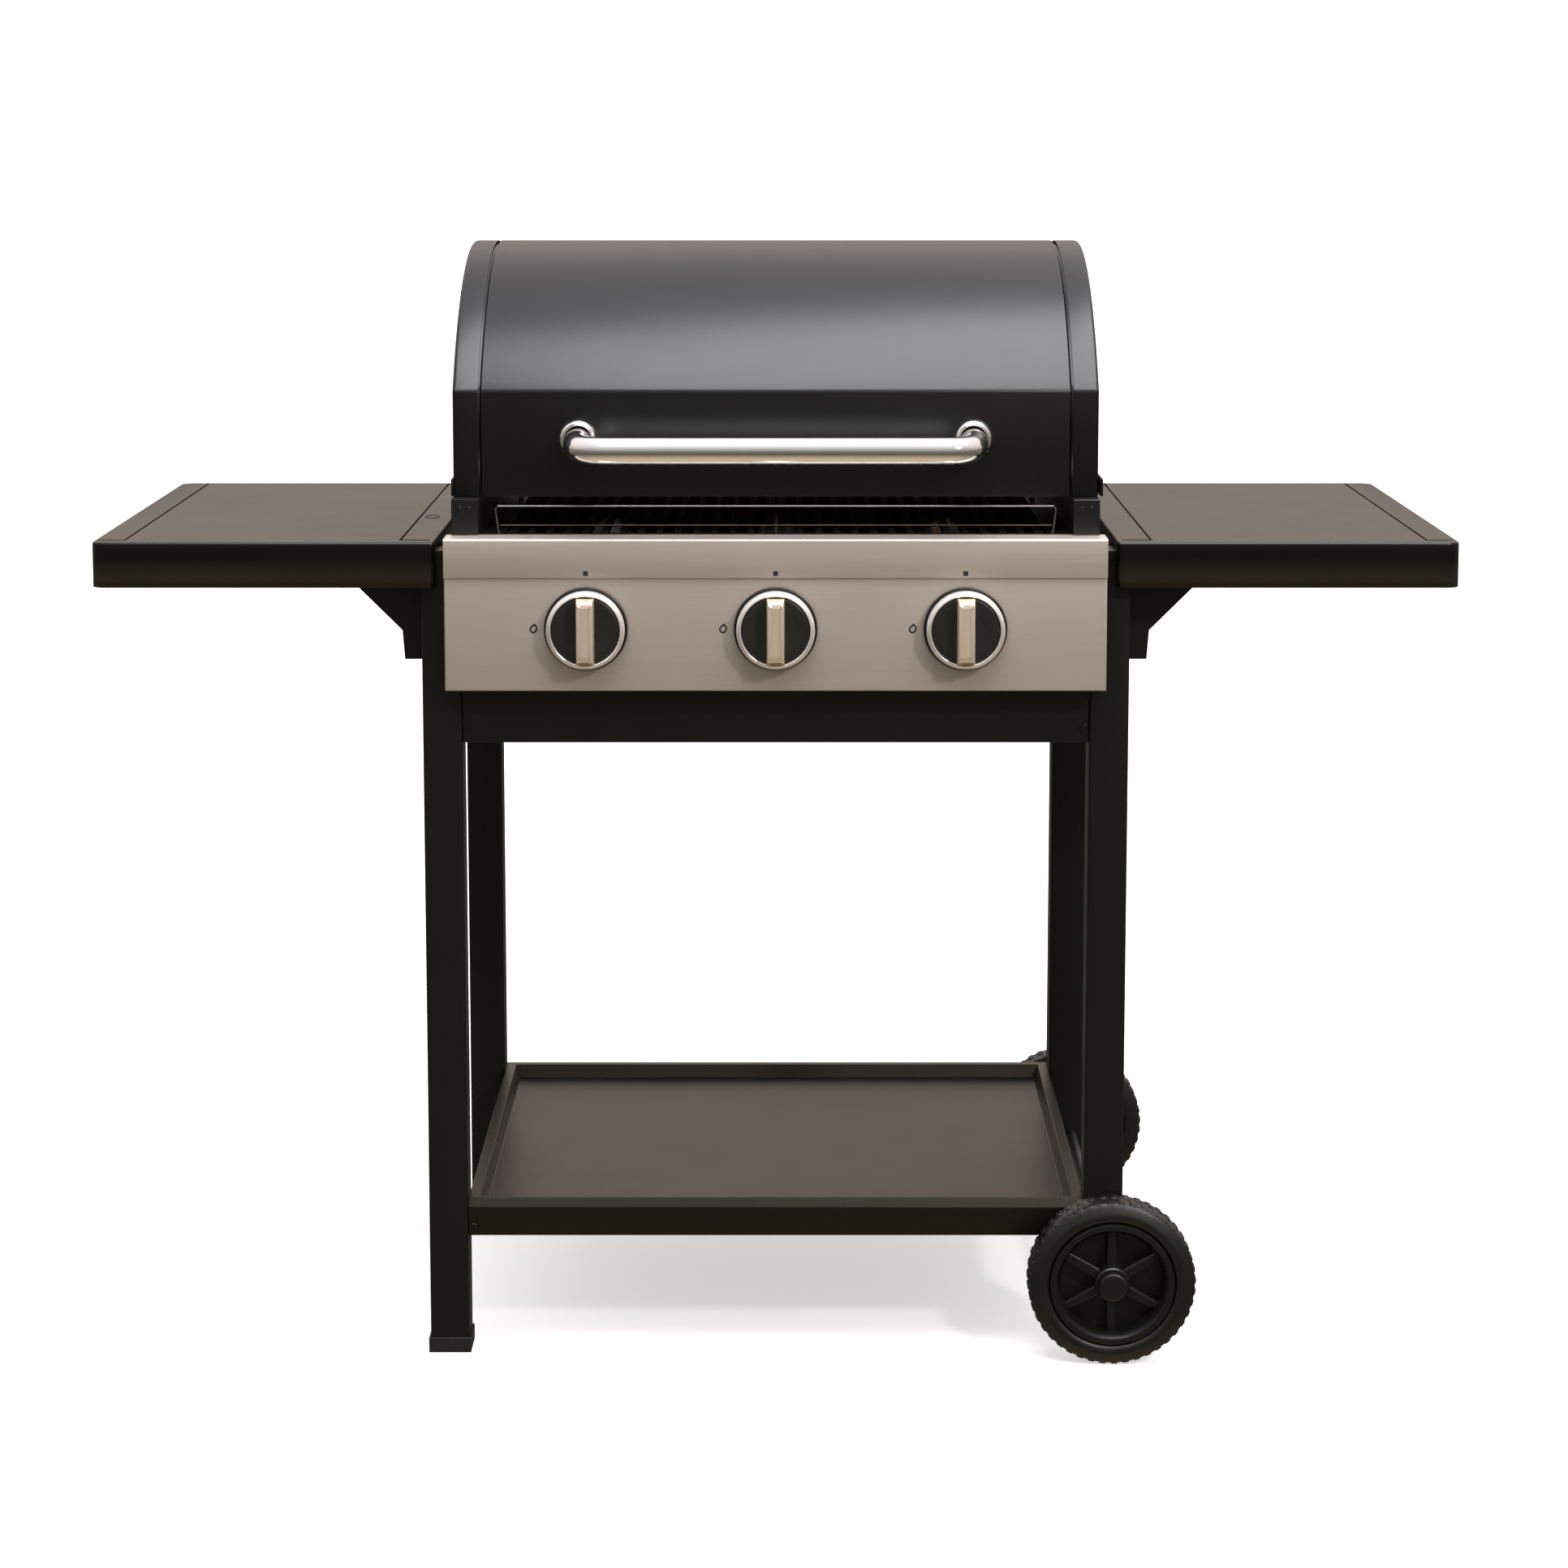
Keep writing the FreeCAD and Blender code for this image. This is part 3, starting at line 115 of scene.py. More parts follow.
class Tree:
    """A node tree. node() adds one node, its settings first, and hands back one of its outputs."""

    def __init__(self, tree):
        self.nodes = tree.nodes
        self.links = tree.links

    def feed(self, socket, given):
        if isinstance(given, Level):
            self.links.new(given.socket, socket)
        else:
            socket.default_value = given

    def node(self, kind, settings, inputs, output=0):
        made = self.nodes.new(kind)
        for name, setting in settings.items():
            if name == "stops":
                ramp = made.color_ramp.elements
                while len(ramp) < len(setting):
                    ramp.new(0.5)
                for element, (at, colour) in zip(ramp, setting):
                    element.position = at
                    element.color = (*colour, 1)
            else:
                setattr(made, name, setting)
        for name, given in inputs.items():
            self.feed(made.inputs[name], given)
        return Level(self, made.outputs[output])

    def mix(self, share, first, second):
        """Colour between two colours, each a triple or a Level."""
        sides = [given if isinstance(given, Level) else (*given, 1) for given in (first, second)]
        return self.node("ShaderNodeMix", {"data_type": "RGBA"},
                         {0: share, 6: sides[0], 7: sides[1]}, output=2)


def light_the_room():
    """Sky for reflections: dim low down, brighter overhead. The camera itself sees plain white."""
    world = bpy.data.worlds.new("studio")
    world.use_nodes = True
    scene.world = world
    sky = Tree(world.node_tree)
    facing = sky.node("ShaderNodeTexCoord", {}, {}, output="Generated")
    across = sky.node("ShaderNodeSeparateXYZ", {}, {0: facing}, output="Y")
    up = sky.node("ShaderNodeSeparateXYZ", {}, {0: facing}, output="Z")
    behind = (across * 0.7 + 0.5).held()
    level = sky.mix(behind, (0.28, 0.26, 0.24), (0.40, 0.33, 0.27))
    slope = sky.mix(behind, (0.55, 0.52, 0.50), (1.10, 0.95, 0.84))
    overhead = sky.mix((up * 1.6 - 0.6).held(), slope, (1.12, 1.12, 1.20))
    open_sky = sky.mix((up * 2.6 - 0.1).held(), level, overhead)
    below = sky.mix((up * -1.9 - 0.8).held(), (0.13, 0.115, 0.095), (0.60, 0.48, 0.34))
    off_horizon = (up * up * 400).held()
    colour = sky.mix(off_horizon, (0.06, 0.06, 0.06), sky.mix((up * -5).held(), open_sky, below))
    seen = sky.node("ShaderNodeLightPath", {}, {}, output="Is Camera Ray")
    background = world.node_tree.nodes["Background"]
    sky.feed(background.inputs["Color"], sky.mix(seen, colour, (1, 1, 1)))
    background.inputs["Strength"].default_value = 1.0


def hang_lamp(name, place, aim, width, depth, watts, colour):
    lamp = bpy.data.lights.new(name, "AREA")
    lamp.shape = "RECTANGLE"
    lamp.size = width
    lamp.size_y = depth
    lamp.energy = watts
    lamp.color = colour
    holder = bpy.data.objects.new(name, lamp)
    holder.location = place
    holder.rotation_euler = (Vector(aim) - Vector(place)).to_track_quat("-Z", "Y").to_euler()
    holder.visible_camera = False
    scene.collection.objects.link(holder)


light_the_room()
hang_lamp("overhead_lamp", place=(0.42, -0.62, 3.0), aim=(0.2, -0.1, 0.8), width=2.7, depth=1.9,
          watts=104, colour=(0.97, 0.97, 1.0))
hang_lamp("key_lamp", place=(2.1, -2.9, 2.7), aim=(0, -0.2, 0.7), width=0.35, depth=0.35,
          watts=55, colour=(1.0, 0.95, 0.88))


class Finish(Tree):
    """One Principled material. Its patterns lie in Object coordinates, in metres."""

    def __init__(self, name, **constants):
        self.material = bpy.data.materials.new(name)
        self.material.use_nodes = True
        super().__init__(self.material.node_tree)
        self.shader = self.nodes["Principled BSDF"]
        self.place = self.node("ShaderNodeTexCoord", {}, {}, output="Object")
        for socket, constant in constants.items():
            self.shader.inputs[socket.replace("_", " ")].default_value = constant

    def stretched(self, stretch):
        return self.node("ShaderNodeMapping", {}, {"Vector": self.place, "Scale": stretch})

    def noise(self, scale, detail=2.0, stretch=(1, 1, 1)):
        """Soft cloud pattern; scale is how many clouds there are in a metre."""
        return self.node("ShaderNodeTexNoise", {},
                         {"Vector": self.stretched(stretch), "Scale": scale, "Detail": detail})

    def cells(self, scale):
        """How far a point lies from the middle of its grain; scale is how many grains in a metre."""
        return self.node("ShaderNodeTexVoronoi", {}, {"Vector": self.place, "Scale": scale})

    def wear(self, colour, roughness=None):
        """Gives the surface a colour and, unless it is even, a roughness that varies."""
        self.feed(self.shader.inputs["Base Color"], colour)
        if roughness is not None:
            self.feed(self.shader.inputs["Roughness"], roughness)

    def relief(self, height, depth):
        """Raised pattern: depth is how far, in metres, a height of 1 stands out."""
        normal = self.node("ShaderNodeBump", {}, {"Height": height, "Distance": depth, "Strength": 1.0})
        self.feed(self.shader.inputs["Normal"], normal)


# The floor: one wide sheet of pale studio paper. It glows more with distance, so it meets a white sky.
FLOOR_REACH = 40            # metres from the middle to an edge
floor_paper = Finish("floor_paper", Roughness=0.95, Specular_IOR_Level=0.0, Emission_Strength=1.0)
floor_paper.wear(colour=floor_paper.mix(floor_paper.noise(3), (0.79, 0.785, 0.78), (0.81, 0.805, 0.80)))
distance = floor_paper.node("ShaderNodeVectorMath", {"operation": "LENGTH"},
                            {0: floor_paper.place}, output="Value")
glow = floor_paper.mix(((distance - 0.8) * 0.25).held(), (0.56, 0.56, 0.56), (1, 1, 1))
floor_paper.feed(floor_paper.shader.inputs["Emission Color"], glow)
paper = bmesh.new()
bmesh.ops.create_grid(paper, x_segments=4, y_segments=4, size=FLOOR_REACH)
floor_mesh = bpy.data.meshes.new("floor")
paper.to_mesh(floor_mesh)
floor = bpy.data.objects.new("floor", floor_mesh)
floor_mesh.materials.append(floor_paper.material)
scene.collection.objects.link(floor)
floor.visible_diffuse = False
floor.visible_glossy = False

# ------------------------ cart frame
# Four square steel legs with rounded corners, joined by pressed rails under the firebox and by the
# bottom shelf. Everything is powder coated a warm black, and the left-hand legs stand in plastic cups.


def painted(name, colour, roughness, grain=0.5, flake=0.0, ior=1.5, tint=(1, 1, 1)):
    """Baked powder paint: a fine orange-peel skin, a little uneven in shade and in gloss."""
    paint = Finish(name, IOR=ior, Specular_Tint=(*tint, 1))
    cloud = paint.noise(5, 3)
    peel = paint.noise(650, 1)
    dark, pale = (tuple(part * share for part in colour) for share in (0.8, 1.2))
    shade = paint.mix(cloud, dark, pale)
    if flake:
        glint = ((paint.noise(2600, 0) - 0.62) * 9).held() * flake
        shade = paint.mix(glint, shade, tuple(min(1, part * 6) for part in colour))
    rubs = paint.noise(28, 4, (1, 1, 0.4))
    paint.wear(colour=shade, roughness=roughness + (cloud - 0.5) * 0.08 + (rubs - 0.5) * 0.06)
    paint.relief(peel * grain + paint.noise(1900, 0) * (grain * 0.4), depth=0.12 * MM)
    return paint.material


def moulded(name, colour, roughness, grain_scale=900, depth=0.06 * MM):
    """Moulded plastic or rubber with a fine spark-eroded grain and faint clouds of lighter and darker tone
    and gloss.
    """
    plastic = Finish(name)
    grain = plastic.noise(grain_scale, 2)
    cloud = plastic.noise(14, 3)
    dark, pale = (tuple(part * share for part in colour) for share in (0.75, 1.35))
    sheen = roughness + (grain - 0.5) * 0.18 + (cloud - 0.5) * 0.1
    plastic.wear(colour=plastic.mix(cloud, dark, pale), roughness=sheen)
    plastic.relief(grain, depth)
    return plastic.material


SHEET = 1.2 * MM            # thickness of the pressed steel
LEG_CORNER = 3 * MM
frame_paint = painted("frame_paint", (0.0034, 0.0030, 0.0020), 0.42, ior=1.45)
shelf_paint = painted("shelf_paint", (0.0060, 0.0050, 0.0034), 0.36, grain=0.35, ior=1.44,
                      tint=(1, 0.9, 0.74))
foot_plastic = moulded("foot_plastic", (0.012, 0.011, 0.010), 0.5)
screw_black = painted("screw_black", (0.004, 0.004, 0.0035), 0.3, grain=0.1)


def settle(bm, name, finish, *stands_for, smooth=32, outward=True, body=None):
    """Makes the piece from its mesh and hangs it on the body of the nodes that it stands for."""
    if outward:
        bmesh.ops.recalc_face_normals(bm, faces=bm.faces)
    for face in bm.faces:
        face.smooth = True
    mesh = bpy.data.meshes.new(name)
    bm.to_mesh(mesh)
    bm.free()
    mesh.set_sharp_from_angle(angle=math.radians(smooth))
    mesh.materials.append(finish)
    piece = bpy.data.objects.new(name, mesh)
    scene.collection.objects.link(piece)
    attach(piece, body or nodes[stands_for[0]]["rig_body"])
    if stands_for:
        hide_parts(*stands_for)
    return piece


def rounded_off(piece, width, segments=2, angle=32):
    """Rounds every sharp edge of a finished piece."""
    edge = piece.modifiers.new("rounded_edges", "BEVEL")
    edge.width = width
    edge.segments = segments
    edge.limit_method = "ANGLE"
    edge.angle_limit = math.radians(angle)
    return piece


def dressed(node, finish, edge, segments=2, angle=32):
    """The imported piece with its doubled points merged, its flats made whole and its edges rounded."""
    same_point = 0.002 * MM
    same_flat = math.radians(0.4)
    bm = bmesh.new()
    bm.from_mesh(nodes[node].data)
    bmesh.ops.remove_doubles(bm, verts=bm.verts, dist=same_point)
    bmesh.ops.dissolve_limit(bm, angle_limit=same_flat, verts=bm.verts, edges=bm.edges)
    piece = settle(bm, f"{node}_dressed", finish, node, outward=False)
    return rounded_off(piece, edge, segments, angle)


def slab(bm, low, high):
    """A block between two corners; hands back its points."""
    low, high = Vector(low), Vector(high)
    size = high - low
    place = Matrix.Translation((low + high) / 2) @ Matrix.Diagonal((*size, 1))
    return bmesh.ops.create_cube(bm, size=1, matrix=place)["verts"]


def edges_where(bm, test):
    """The edges whose two ends both pass a test."""
    return [edge for edge in bm.edges if all(test(point.co) for point in edge.verts)]


def ease(bm, edges, radius, segments=3):
    """Rounds these edges."""
    return bmesh.ops.bevel(bm, geom=edges, offset=radius, segments=segments, profile=0.5,
                           affect="EDGES", material=-1)


def upright(edge):
    along = edge.verts[1].co - edge.verts[0].co
    return abs(along.z) > 0.9 * along.length


for end in ("front", "rear"):
    for side in ("left", "right"):
        leg = bmesh.new()
        slab(leg, *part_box(f"leg_{end}_{side}"))
        ease(leg, [edge for edge in leg.edges if upright(edge)], LEG_CORNER, 5)
        tube = settle(leg, f"leg_tube_{end}_{side}", frame_paint, f"leg_{end}_{side}")
        rounded_off(tube, 0.4 * MM)

for node in ("front_rail", "rear_rail", "side_rail_left", "side_rail_right"):
    dressed(node, frame_paint, 0.8 * MM, 3)


def sheet_thick(piece, thickness):
    """Gives a folded skin the thickness of its sheet, inwards from the skin."""
    wall = piece.modifiers.new("sheet", "SOLIDIFY")
    wall.thickness = thickness
    wall.offset = -1
    wall.use_even_offset = True
    return piece


def make_shelf():
    """One pressed sheet: a sunk field, a flat rim round it, and a front edge folded twice."""
    low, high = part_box("bottom_shelf")
    fold, second_fold = 8 * MM, 4.5 * MM
    rim, slope, sink = 9.5 * MM, 5 * MM, 12 * MM
    hair = 0.1 * MM
    bm = bmesh.new()
    slab(bm, low, high)
    bmesh.ops.recalc_face_normals(bm, faces=bm.faces)
    bmesh.ops.delete(bm, geom=[face for face in bm.faces if face.normal.z < -0.9], context="FACES")
    top = [face for face in bm.faces if face.normal.z > 0.9]
    bmesh.ops.inset_region(bm, faces=top, thickness=rim, depth=0, use_even_offset=True)
    bmesh.ops.inset_region(bm, faces=top, thickness=slope, depth=-sink, use_even_offset=True)
    ease(bm, edges_where(bm, lambda at: at.y < low.y + hair and at.z > high.z - hair), fold, 1)
    for point in bm.verts:
        if abs(point.co.y - low.y - fold) < 3 * hair and point.co.z > high.z - hair:
            point.co.y = low.y + second_fold
    shelf = settle(bm, "shelf_pressed", shelf_paint, "bottom_shelf", outward=False, smooth=25)
    rounded_off(sheet_thick(shelf, SHEET), 0.8 * MM, 2, 15)


make_shelf()
dressed("foot_caps", foot_plastic, 1.2 * MM, 3)
dressed("frame_screws", screw_black, 0.35 * MM)

# ------------------------ wheels
# Two plastic wheels on one steel axle through the right-hand legs. Each has a hard rubber tyre with
# two rows of lugs, a dished rim with six spokes, and a flat round cap over the end of the axle.


def plated(name, colour, roughness, cloudiness=0.05):
    """Bright plated metal with the faint smears that a cloth leaves."""
    plate = Finish(name, Metallic=1.0)
    smear = plate.noise(60, 4, (1, 1, 3))
    dark = tuple(part * 0.93 for part in colour)
    sheen = roughness + (smear - 0.4).held() * cloudiness
    plate.wear(colour=plate.mix(smear, dark, colour), roughness=sheen)
    plate.relief(plate.noise(160, 1), depth=0.01 * MM)
    return plate.material


tyre_rubber = moulded("tyre_rubber", (0.0055, 0.0052, 0.0042), 0.40, 500)
wheel_plastic = moulded("wheel_plastic", (0.0045, 0.0045, 0.0040), 0.34, 1200, 0.04 * MM)
AXIS_BACK = (0, 1, 0)       # wheels are turned about it
LUG_COUNT = 44
SPOKE_COUNT = 6
BEAD_RADIUS = 56 * MM       # where the tyre sits on the rim


def turned(bm, profile, centre, axis, steps=64):
    """Spins a profile of (radius, distance along the axis) points once round."""
    axis = Vector(axis)
    aside = axis.orthogonal().normalized()
    points = [bm.verts.new(Vector(centre) + aside * radius + axis * along) for radius, along in profile]
    rims = [bm.edges.new(pair) for pair in zip(points, points[1:])]
    bmesh.ops.spin(bm, geom=points + rims, cent=centre, axis=axis, dvec=(0, 0, 0),
                   angle=math.tau, steps=steps, use_merge=True, use_duplicate=False)


def wheel_frame(node):
    """Middle, outer radius and half width of a wheel piece."""
    low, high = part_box(node)
    return (low + high) / 2, (high.z - low.z) / 2, (high.y - low.y) / 2


def make_tyre(end):
    centre, radius, half = wheel_frame(f"tyre_{end}")
    lug, lug_band, groove = 1 * MM, 2.2 * MM, 1.2 * MM
    crown = radius - lug
    bm = bmesh.new()
    near = [(BEAD_RADIUS, -half + 4 * MM), (BEAD_RADIUS + 1.5 * MM, -half + 1.2 * MM),
            (BEAD_RADIUS + 4 * MM, -half), (crown - 9 * MM, -half), (crown - 7.5 * MM, -half + 0.9 * MM),
            (crown - 4 * MM, -half + 1.6 * MM), (crown - 1.2 * MM, -half + 3.6 * MM),
            (crown, -half + 6.5 * MM), (crown, -groove)]
    far = [(point, -along) for point, along in reversed(near)]
    turned(bm, near + far + near[:1], centre, AXIS_BACK, LUG_COUNT * 2)
    bmesh.ops.recalc_face_normals(bm, faces=bm.faces)

    def raised(face):
        """Every other face of a row is a lug; the two rows are half a step apart."""
        middle = face.calc_center_median() - centre
        step = math.atan2(middle.z, middle.x) / math.tau * LUG_COUNT
        far_out = math.hypot(middle.x, middle.z) > crown - lug_band
        phase = 0.0 if middle.y < 0 else 0.5
        return far_out and abs(middle.y) > groove + 0.1 * MM and (step + phase) % 1 < 0.5

    lugs = [face for face in bm.faces if raised(face)]
    grown = bmesh.ops.extrude_face_region(bm, geom=lugs)
    tops = [part for part in grown["geom"] if isinstance(part, bmesh.types.BMFace)]
    bmesh.ops.delete(bm, geom=lugs, context="FACES_ONLY")
    for point in {corner for face in tops for corner in face.verts}:
        out = Vector((point.co.x - centre.x, 0, point.co.z - centre.z))
        point.co += out.normalized() * lug
    tyre = settle(bm, f"tyre_treaded_{end}", tyre_rubber, f"tyre_{end}", smooth=38)
    rounded_off(tyre, 0.35 * MM, 1, 50)


def make_rim(end):
    centre, _, half = wheel_frame(f"rim_{end}")
    outer_side = -1 if end == "front" else 1
    bm = bmesh.new()
    near = [(BEAD_RADIUS, -half + 3 * MM), (55.2 * MM, -half + 1 * MM), (53 * MM, -half + 0.4 * MM),
            (50 * MM, -half + 1.2 * MM), (47.5 * MM, -half + 4 * MM), (46 * MM, -half + 8 * MM)]
    far = [(radius, -along) for radius, along in reversed(near)]
    turned(bm, near + [(45.2 * MM, 0)] + far + near[:1], centre, AXIS_BACK)
    bore, hub = 5.2 * MM, 18 * MM
    turned(bm, [(bore, -hub), (14.5 * MM, -hub), (15.6 * MM, -hub + 1.2 * MM), (16.4 * MM, 0),
                (15.6 * MM, hub - 1.2 * MM), (14.5 * MM, hub), (bore, hub), (bore, -hub)],
           centre, AXIS_BACK)
    for number in range(SPOKE_COUNT):
        spoke = slab(bm, (-4.8 * MM, -9 * MM, 13 * MM), (4.8 * MM, 9 * MM, 48 * MM))
        for point in spoke:
            if point.co.z > 30 * MM:
                point.co.x *= 0.86
                point.co.y *= 0.8
        edges = {edge for point in spoke for edge in point.link_edges if upright(edge)}
        rib = {point for edge in ease(bm, list(edges), 1.6 * MM, 3)["edges"] for point in edge.verts}
        rib |= {point for point in spoke if point.is_valid}
        spin = Matrix.Rotation(math.tau * number / SPOKE_COUNT, 4, "Y")
        bmesh.ops.transform(bm, matrix=Matrix.Translation(centre) @ spin, verts=list(rib))
    eye, edge_radius, half_dish, set_back = 16 * MM, 45.6 * MM, 2 * MM, 6 * MM
    turned(bm, [(eye, -half_dish), (edge_radius, -half_dish), (edge_radius, half_dish), (eye, half_dish),
                (eye, -half_dish)], centre - Vector((0, outer_side * set_back, 0)), AXIS_BACK)
    settle(bm, f"rim_spoked_{end}", wheel_plastic, f"rim_{end}")


def make_cap(bm, end):
    """Flat cap with a rounded edge, pushed over one end of the axle."""
    low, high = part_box("axle_nuts")
    out, tip = (-1, low.y) if end == "front" else (1, high.y)
    radius, deep = 12.8 * MM, 7.4 * MM
    centre = Vector(((low.x + high.x) / 2, tip, (low.z + high.z) / 2))
    turned(bm, [(0, 0), (10.6 * MM, -0.1 * MM), (11.7 * MM, -0.4 * MM), (12.5 * MM, -1.2 * MM),
                (radius, -2.6 * MM), (radius, -deep), (0, -deep)], centre, (0, out, 0), 48)


caps = bmesh.new()
for end in ("front", "rear"):
    make_tyre(end)
    make_rim(end)
    make_cap(caps, end)
settle(caps, "axle_caps", wheel_plastic, "axle_nuts")
dressed("axle", plated("axle_steel", (0.17, 0.17, 0.17), 0.4, 0.3), 0.3 * MM)

# ------------------------ firebox
# A pressed tub of black enamelled steel with a drain hole, hung between two side castings. The
# castings carry the ears of the hood's hinge and two small posts that the closed hood comes down to.

side_paint = painted("side_paint", (0.0032, 0.0030, 0.0028), 0.38, grain=0.7)
zinc_steel = plated("zinc_steel", (0.52, 0.53, 0.54), 0.32, 0.2)


def enamelled(name, colour):
    """Black enamel with pale specks, dulled by soot and a little fat that has run and dried."""
    enamel = Finish(name)
    specks = ((0.16 - enamel.cells(900)) * 12).held()
    soot = enamel.noise(9, 4, (1, 1, 2))
    runs = (enamel.noise(22, 3, (3, 3, 0.25)) * 1.6 - 0.6).held()
    shade = enamel.mix(specks * 0.35, colour, (0.16, 0.16, 0.16))
    shade = enamel.mix(soot * 0.6, shade, (0.012, 0.010, 0.008))
    enamel.wear(colour=enamel.mix(runs * 0.5, shade, (0.035, 0.020, 0.010)), roughness=0.28 + soot * 0.35)
    enamel.relief(enamel.noise(300, 2), depth=0.08 * MM)
    return enamel.material


tub_steel = enamelled("tub_steel", (0.018, 0.018, 0.018))
dressed("firebox", tub_steel, 0.8 * MM, 2)
dressed("firebox_side_left", side_paint, 0.9 * MM, 3)
dressed("firebox_side_right", side_paint, 0.9 * MM, 3)
dressed("hinge_pins", zinc_steel, 0.4 * MM)
dressed("post_rivets", side_paint, 0.3 * MM)

# ------------------------ cooking surfaces
# Two cast-iron grates side by side over the flames, and a plated wire rack behind and above them
# that keeps food warm. The rack stands on the tub's flange, and so do two thin wires at the front.


def cast_iron(name):
    """Seasoned cast iron: pitted, nearly black, browner and shinier where fat has baked on."""
    iron = Finish(name, Specular_IOR_Level=0.12)
    pits = iron.noise(520, 3)
    baked = (iron.noise(18, 4) * 1.8 - 0.5).held()
    shade = iron.mix(baked, (0.0045, 0.0042, 0.004), (0.009, 0.007, 0.005))
    iron.wear(colour=shade, roughness=0.85 - baked * 0.2)
    iron.relief(pits, depth=0.3 * MM)
    return iron.material


grate_iron = cast_iron("grate_iron")
rack_wire = plated("rack_wire", (0.60, 0.58, 0.55), 0.22, 0.3)
dressed("cooking_grate_left", grate_iron, 1.5 * MM, 3)
dressed("cooking_grate_right", grate_iron, 1.5 * MM, 3)
dressed("warming_rack", rack_wire, 2.0 * MM, 3)


def points_in(parts):
    return [part for part in parts if isinstance(part, bmesh.types.BMVert)]


def edges_in(parts):
    return [part for part in parts if isinstance(part, bmesh.types.BMEdge)]


def drawn_out(bm, edges, step):
    """Draws these edges out by a step, leaving a sheet behind; hands back the far edges."""
    grown = bmesh.ops.extrude_edge_only(bm, edges=edges)["geom"]
    bmesh.ops.translate(bm, vec=step, verts=points_in(grown))
    return edges_in(grown)


def bend_wire(bm, path, radius):
    """A round wire through these points, mitred at each bend and closed at both ends."""
    ring = bmesh.ops.create_circle(bm, cap_ends=True, radius=radius, segments=10)["verts"]
    section = {point: point.co.copy() for point in ring}
    edges = bm.edges[:]
    for number, centre in enumerate(path):
        if number:
            edges = drawn_out(bm, edges, (0, 0, 0))
            fresh = {point for edge in edges for point in edge.verts}
            section = {point: next(section[edge.other_vert(point)] for edge in point.link_edges
                                   if edge.other_vert(point) in section) for point in fresh}
        before = path[max(0, number - 1)]
        after = path[min(len(path) - 1, number + 1)]
        turn = (after - before).to_track_quat("Z", "Y")
        for point, flat in section.items():
            point.co = centre + turn @ flat
    bmesh.ops.holes_fill(bm, edges=edges, sides=0)


def make_front_rail(name, half, height, finish):
    """One wire of a low rail in front of the grates; its bent ends stand on the tub's flange."""
    foot_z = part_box("firebox")[1].z - 0.5 * MM
    top_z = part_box("firebox")[1].z + height
    rail_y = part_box("cooking_grate_left")[0].y + 8 * MM
    bend, splay, wire_radius = 2 * MM, 3 * MM, 0.9 * MM
    path = [Vector((splay - half, rail_y, foot_z)), Vector((-half, rail_y, top_z - bend)),
            Vector((bend - half, rail_y, top_z))]
    path += [Vector((-point.x, point.y, point.z)) for point in reversed(path)]
    bm = bmesh.new()
    bend_wire(bm, path, wire_radius)
    settle(bm, name, finish, body="cart", smooth=60)


rail_wire = plated("rail_wire", (0.22, 0.21, 0.21), 0.34, 0.2)
# The lower wire is the upper one's plating made darker and browner: painted shade for the dimmer light low
# in the firebox.
shaded_wire = plated("shaded_wire", (0.075, 0.052, 0.036), 0.42, 0.2)
make_front_rail("grate_rail_upper", 246.5 * MM, 25.5 * MM, rail_wire)
make_front_rail("grate_rail_lower", 244.5 * MM, 8.5 * MM, shaded_wire)

# ------------------------ burners and gas
# Three drilled stainless tubes under bent heat shields. Brass taps on a steel manifold feed them, the
# manifold's inlet comes out at the back on the left, and a ceramic igniter stands by each tube.


def heat_tinted(name):
    """Stainless steel that the flames have coloured straw, brown and blue in drifting bands."""
    steel = Finish(name, Metallic=1.0)
    band = steel.noise(11, 3, (1, 0.5, 1))
    tint = steel.node("ShaderNodeValToRGB", {"stops": [
        (0.30, (0.50, 0.48, 0.45)), (0.45, (0.52, 0.42, 0.27)), (0.56, (0.30, 0.19, 0.14)),
        (0.66, (0.20, 0.22, 0.33)), (0.80, (0.42, 0.42, 0.42))]}, {0: band})
    grit = steel.noise(400, 2)
    steel.wear(colour=tint, roughness=0.3 + grit * 0.2)
    steel.relief(grit, depth=0.05 * MM)
    return steel.material


burner_steel = heat_tinted("burner_steel")
gas_brass = plated("gas_brass", (0.72, 0.50, 0.22), 0.26, 0.25)
gas_pipe = painted("gas_pipe", (0.055, 0.055, 0.055), 0.4, grain=0.3)
ceramic = moulded("ceramic", (0.62, 0.60, 0.56), 0.25, 300, 0.03 * MM)
for column in ("left", "middle", "right"):
    dressed(f"burner_{column}", burner_steel, 0.15 * MM, 1, 50)
dressed("heat_tents", burner_steel, 0.5 * MM, 2)
dressed("gas_manifold", gas_pipe, 1.5 * MM, 3)
dressed("gas_inlet", gas_brass, 0.25 * MM, 1, 50)
dressed("gas_valves", gas_brass, 0.6 * MM, 2, 45)
dressed("igniters", ceramic, 0.4 * MM, 2, 50)

# ------------------------ control panel
# A box of brushed stainless sheet, open at the back, with a deeper folded cap along its top. It is
# printed with a small off mark over each knob and a plain flame beside it.


def brushed(name, colour, roughness, stretch, depth=0.02 * MM, metallic=1.0):
    """Metal polished along one direction with a belt: long fine scratches in shade, gloss and relief."""
    steel = Finish(name, Metallic=metallic)
    hairs = steel.noise(420, 2, stretch)
    strands = steel.noise(2400, 1, stretch)
    cloud = steel.noise(4, 2)
    dark, pale = (tuple(part * share for part in colour) for share in (0.90, 1.06))
    shade = steel.mix(hairs * 0.5 + strands * 0.3 + cloud * 0.2, dark, pale)
    steel.wear(colour=shade, roughness=roughness + (hairs - 0.5) * 0.12 + (cloud - 0.5) * 0.06)
    steel.relief(hairs * 0.6 + strands * 0.4, depth)
    return steel.material


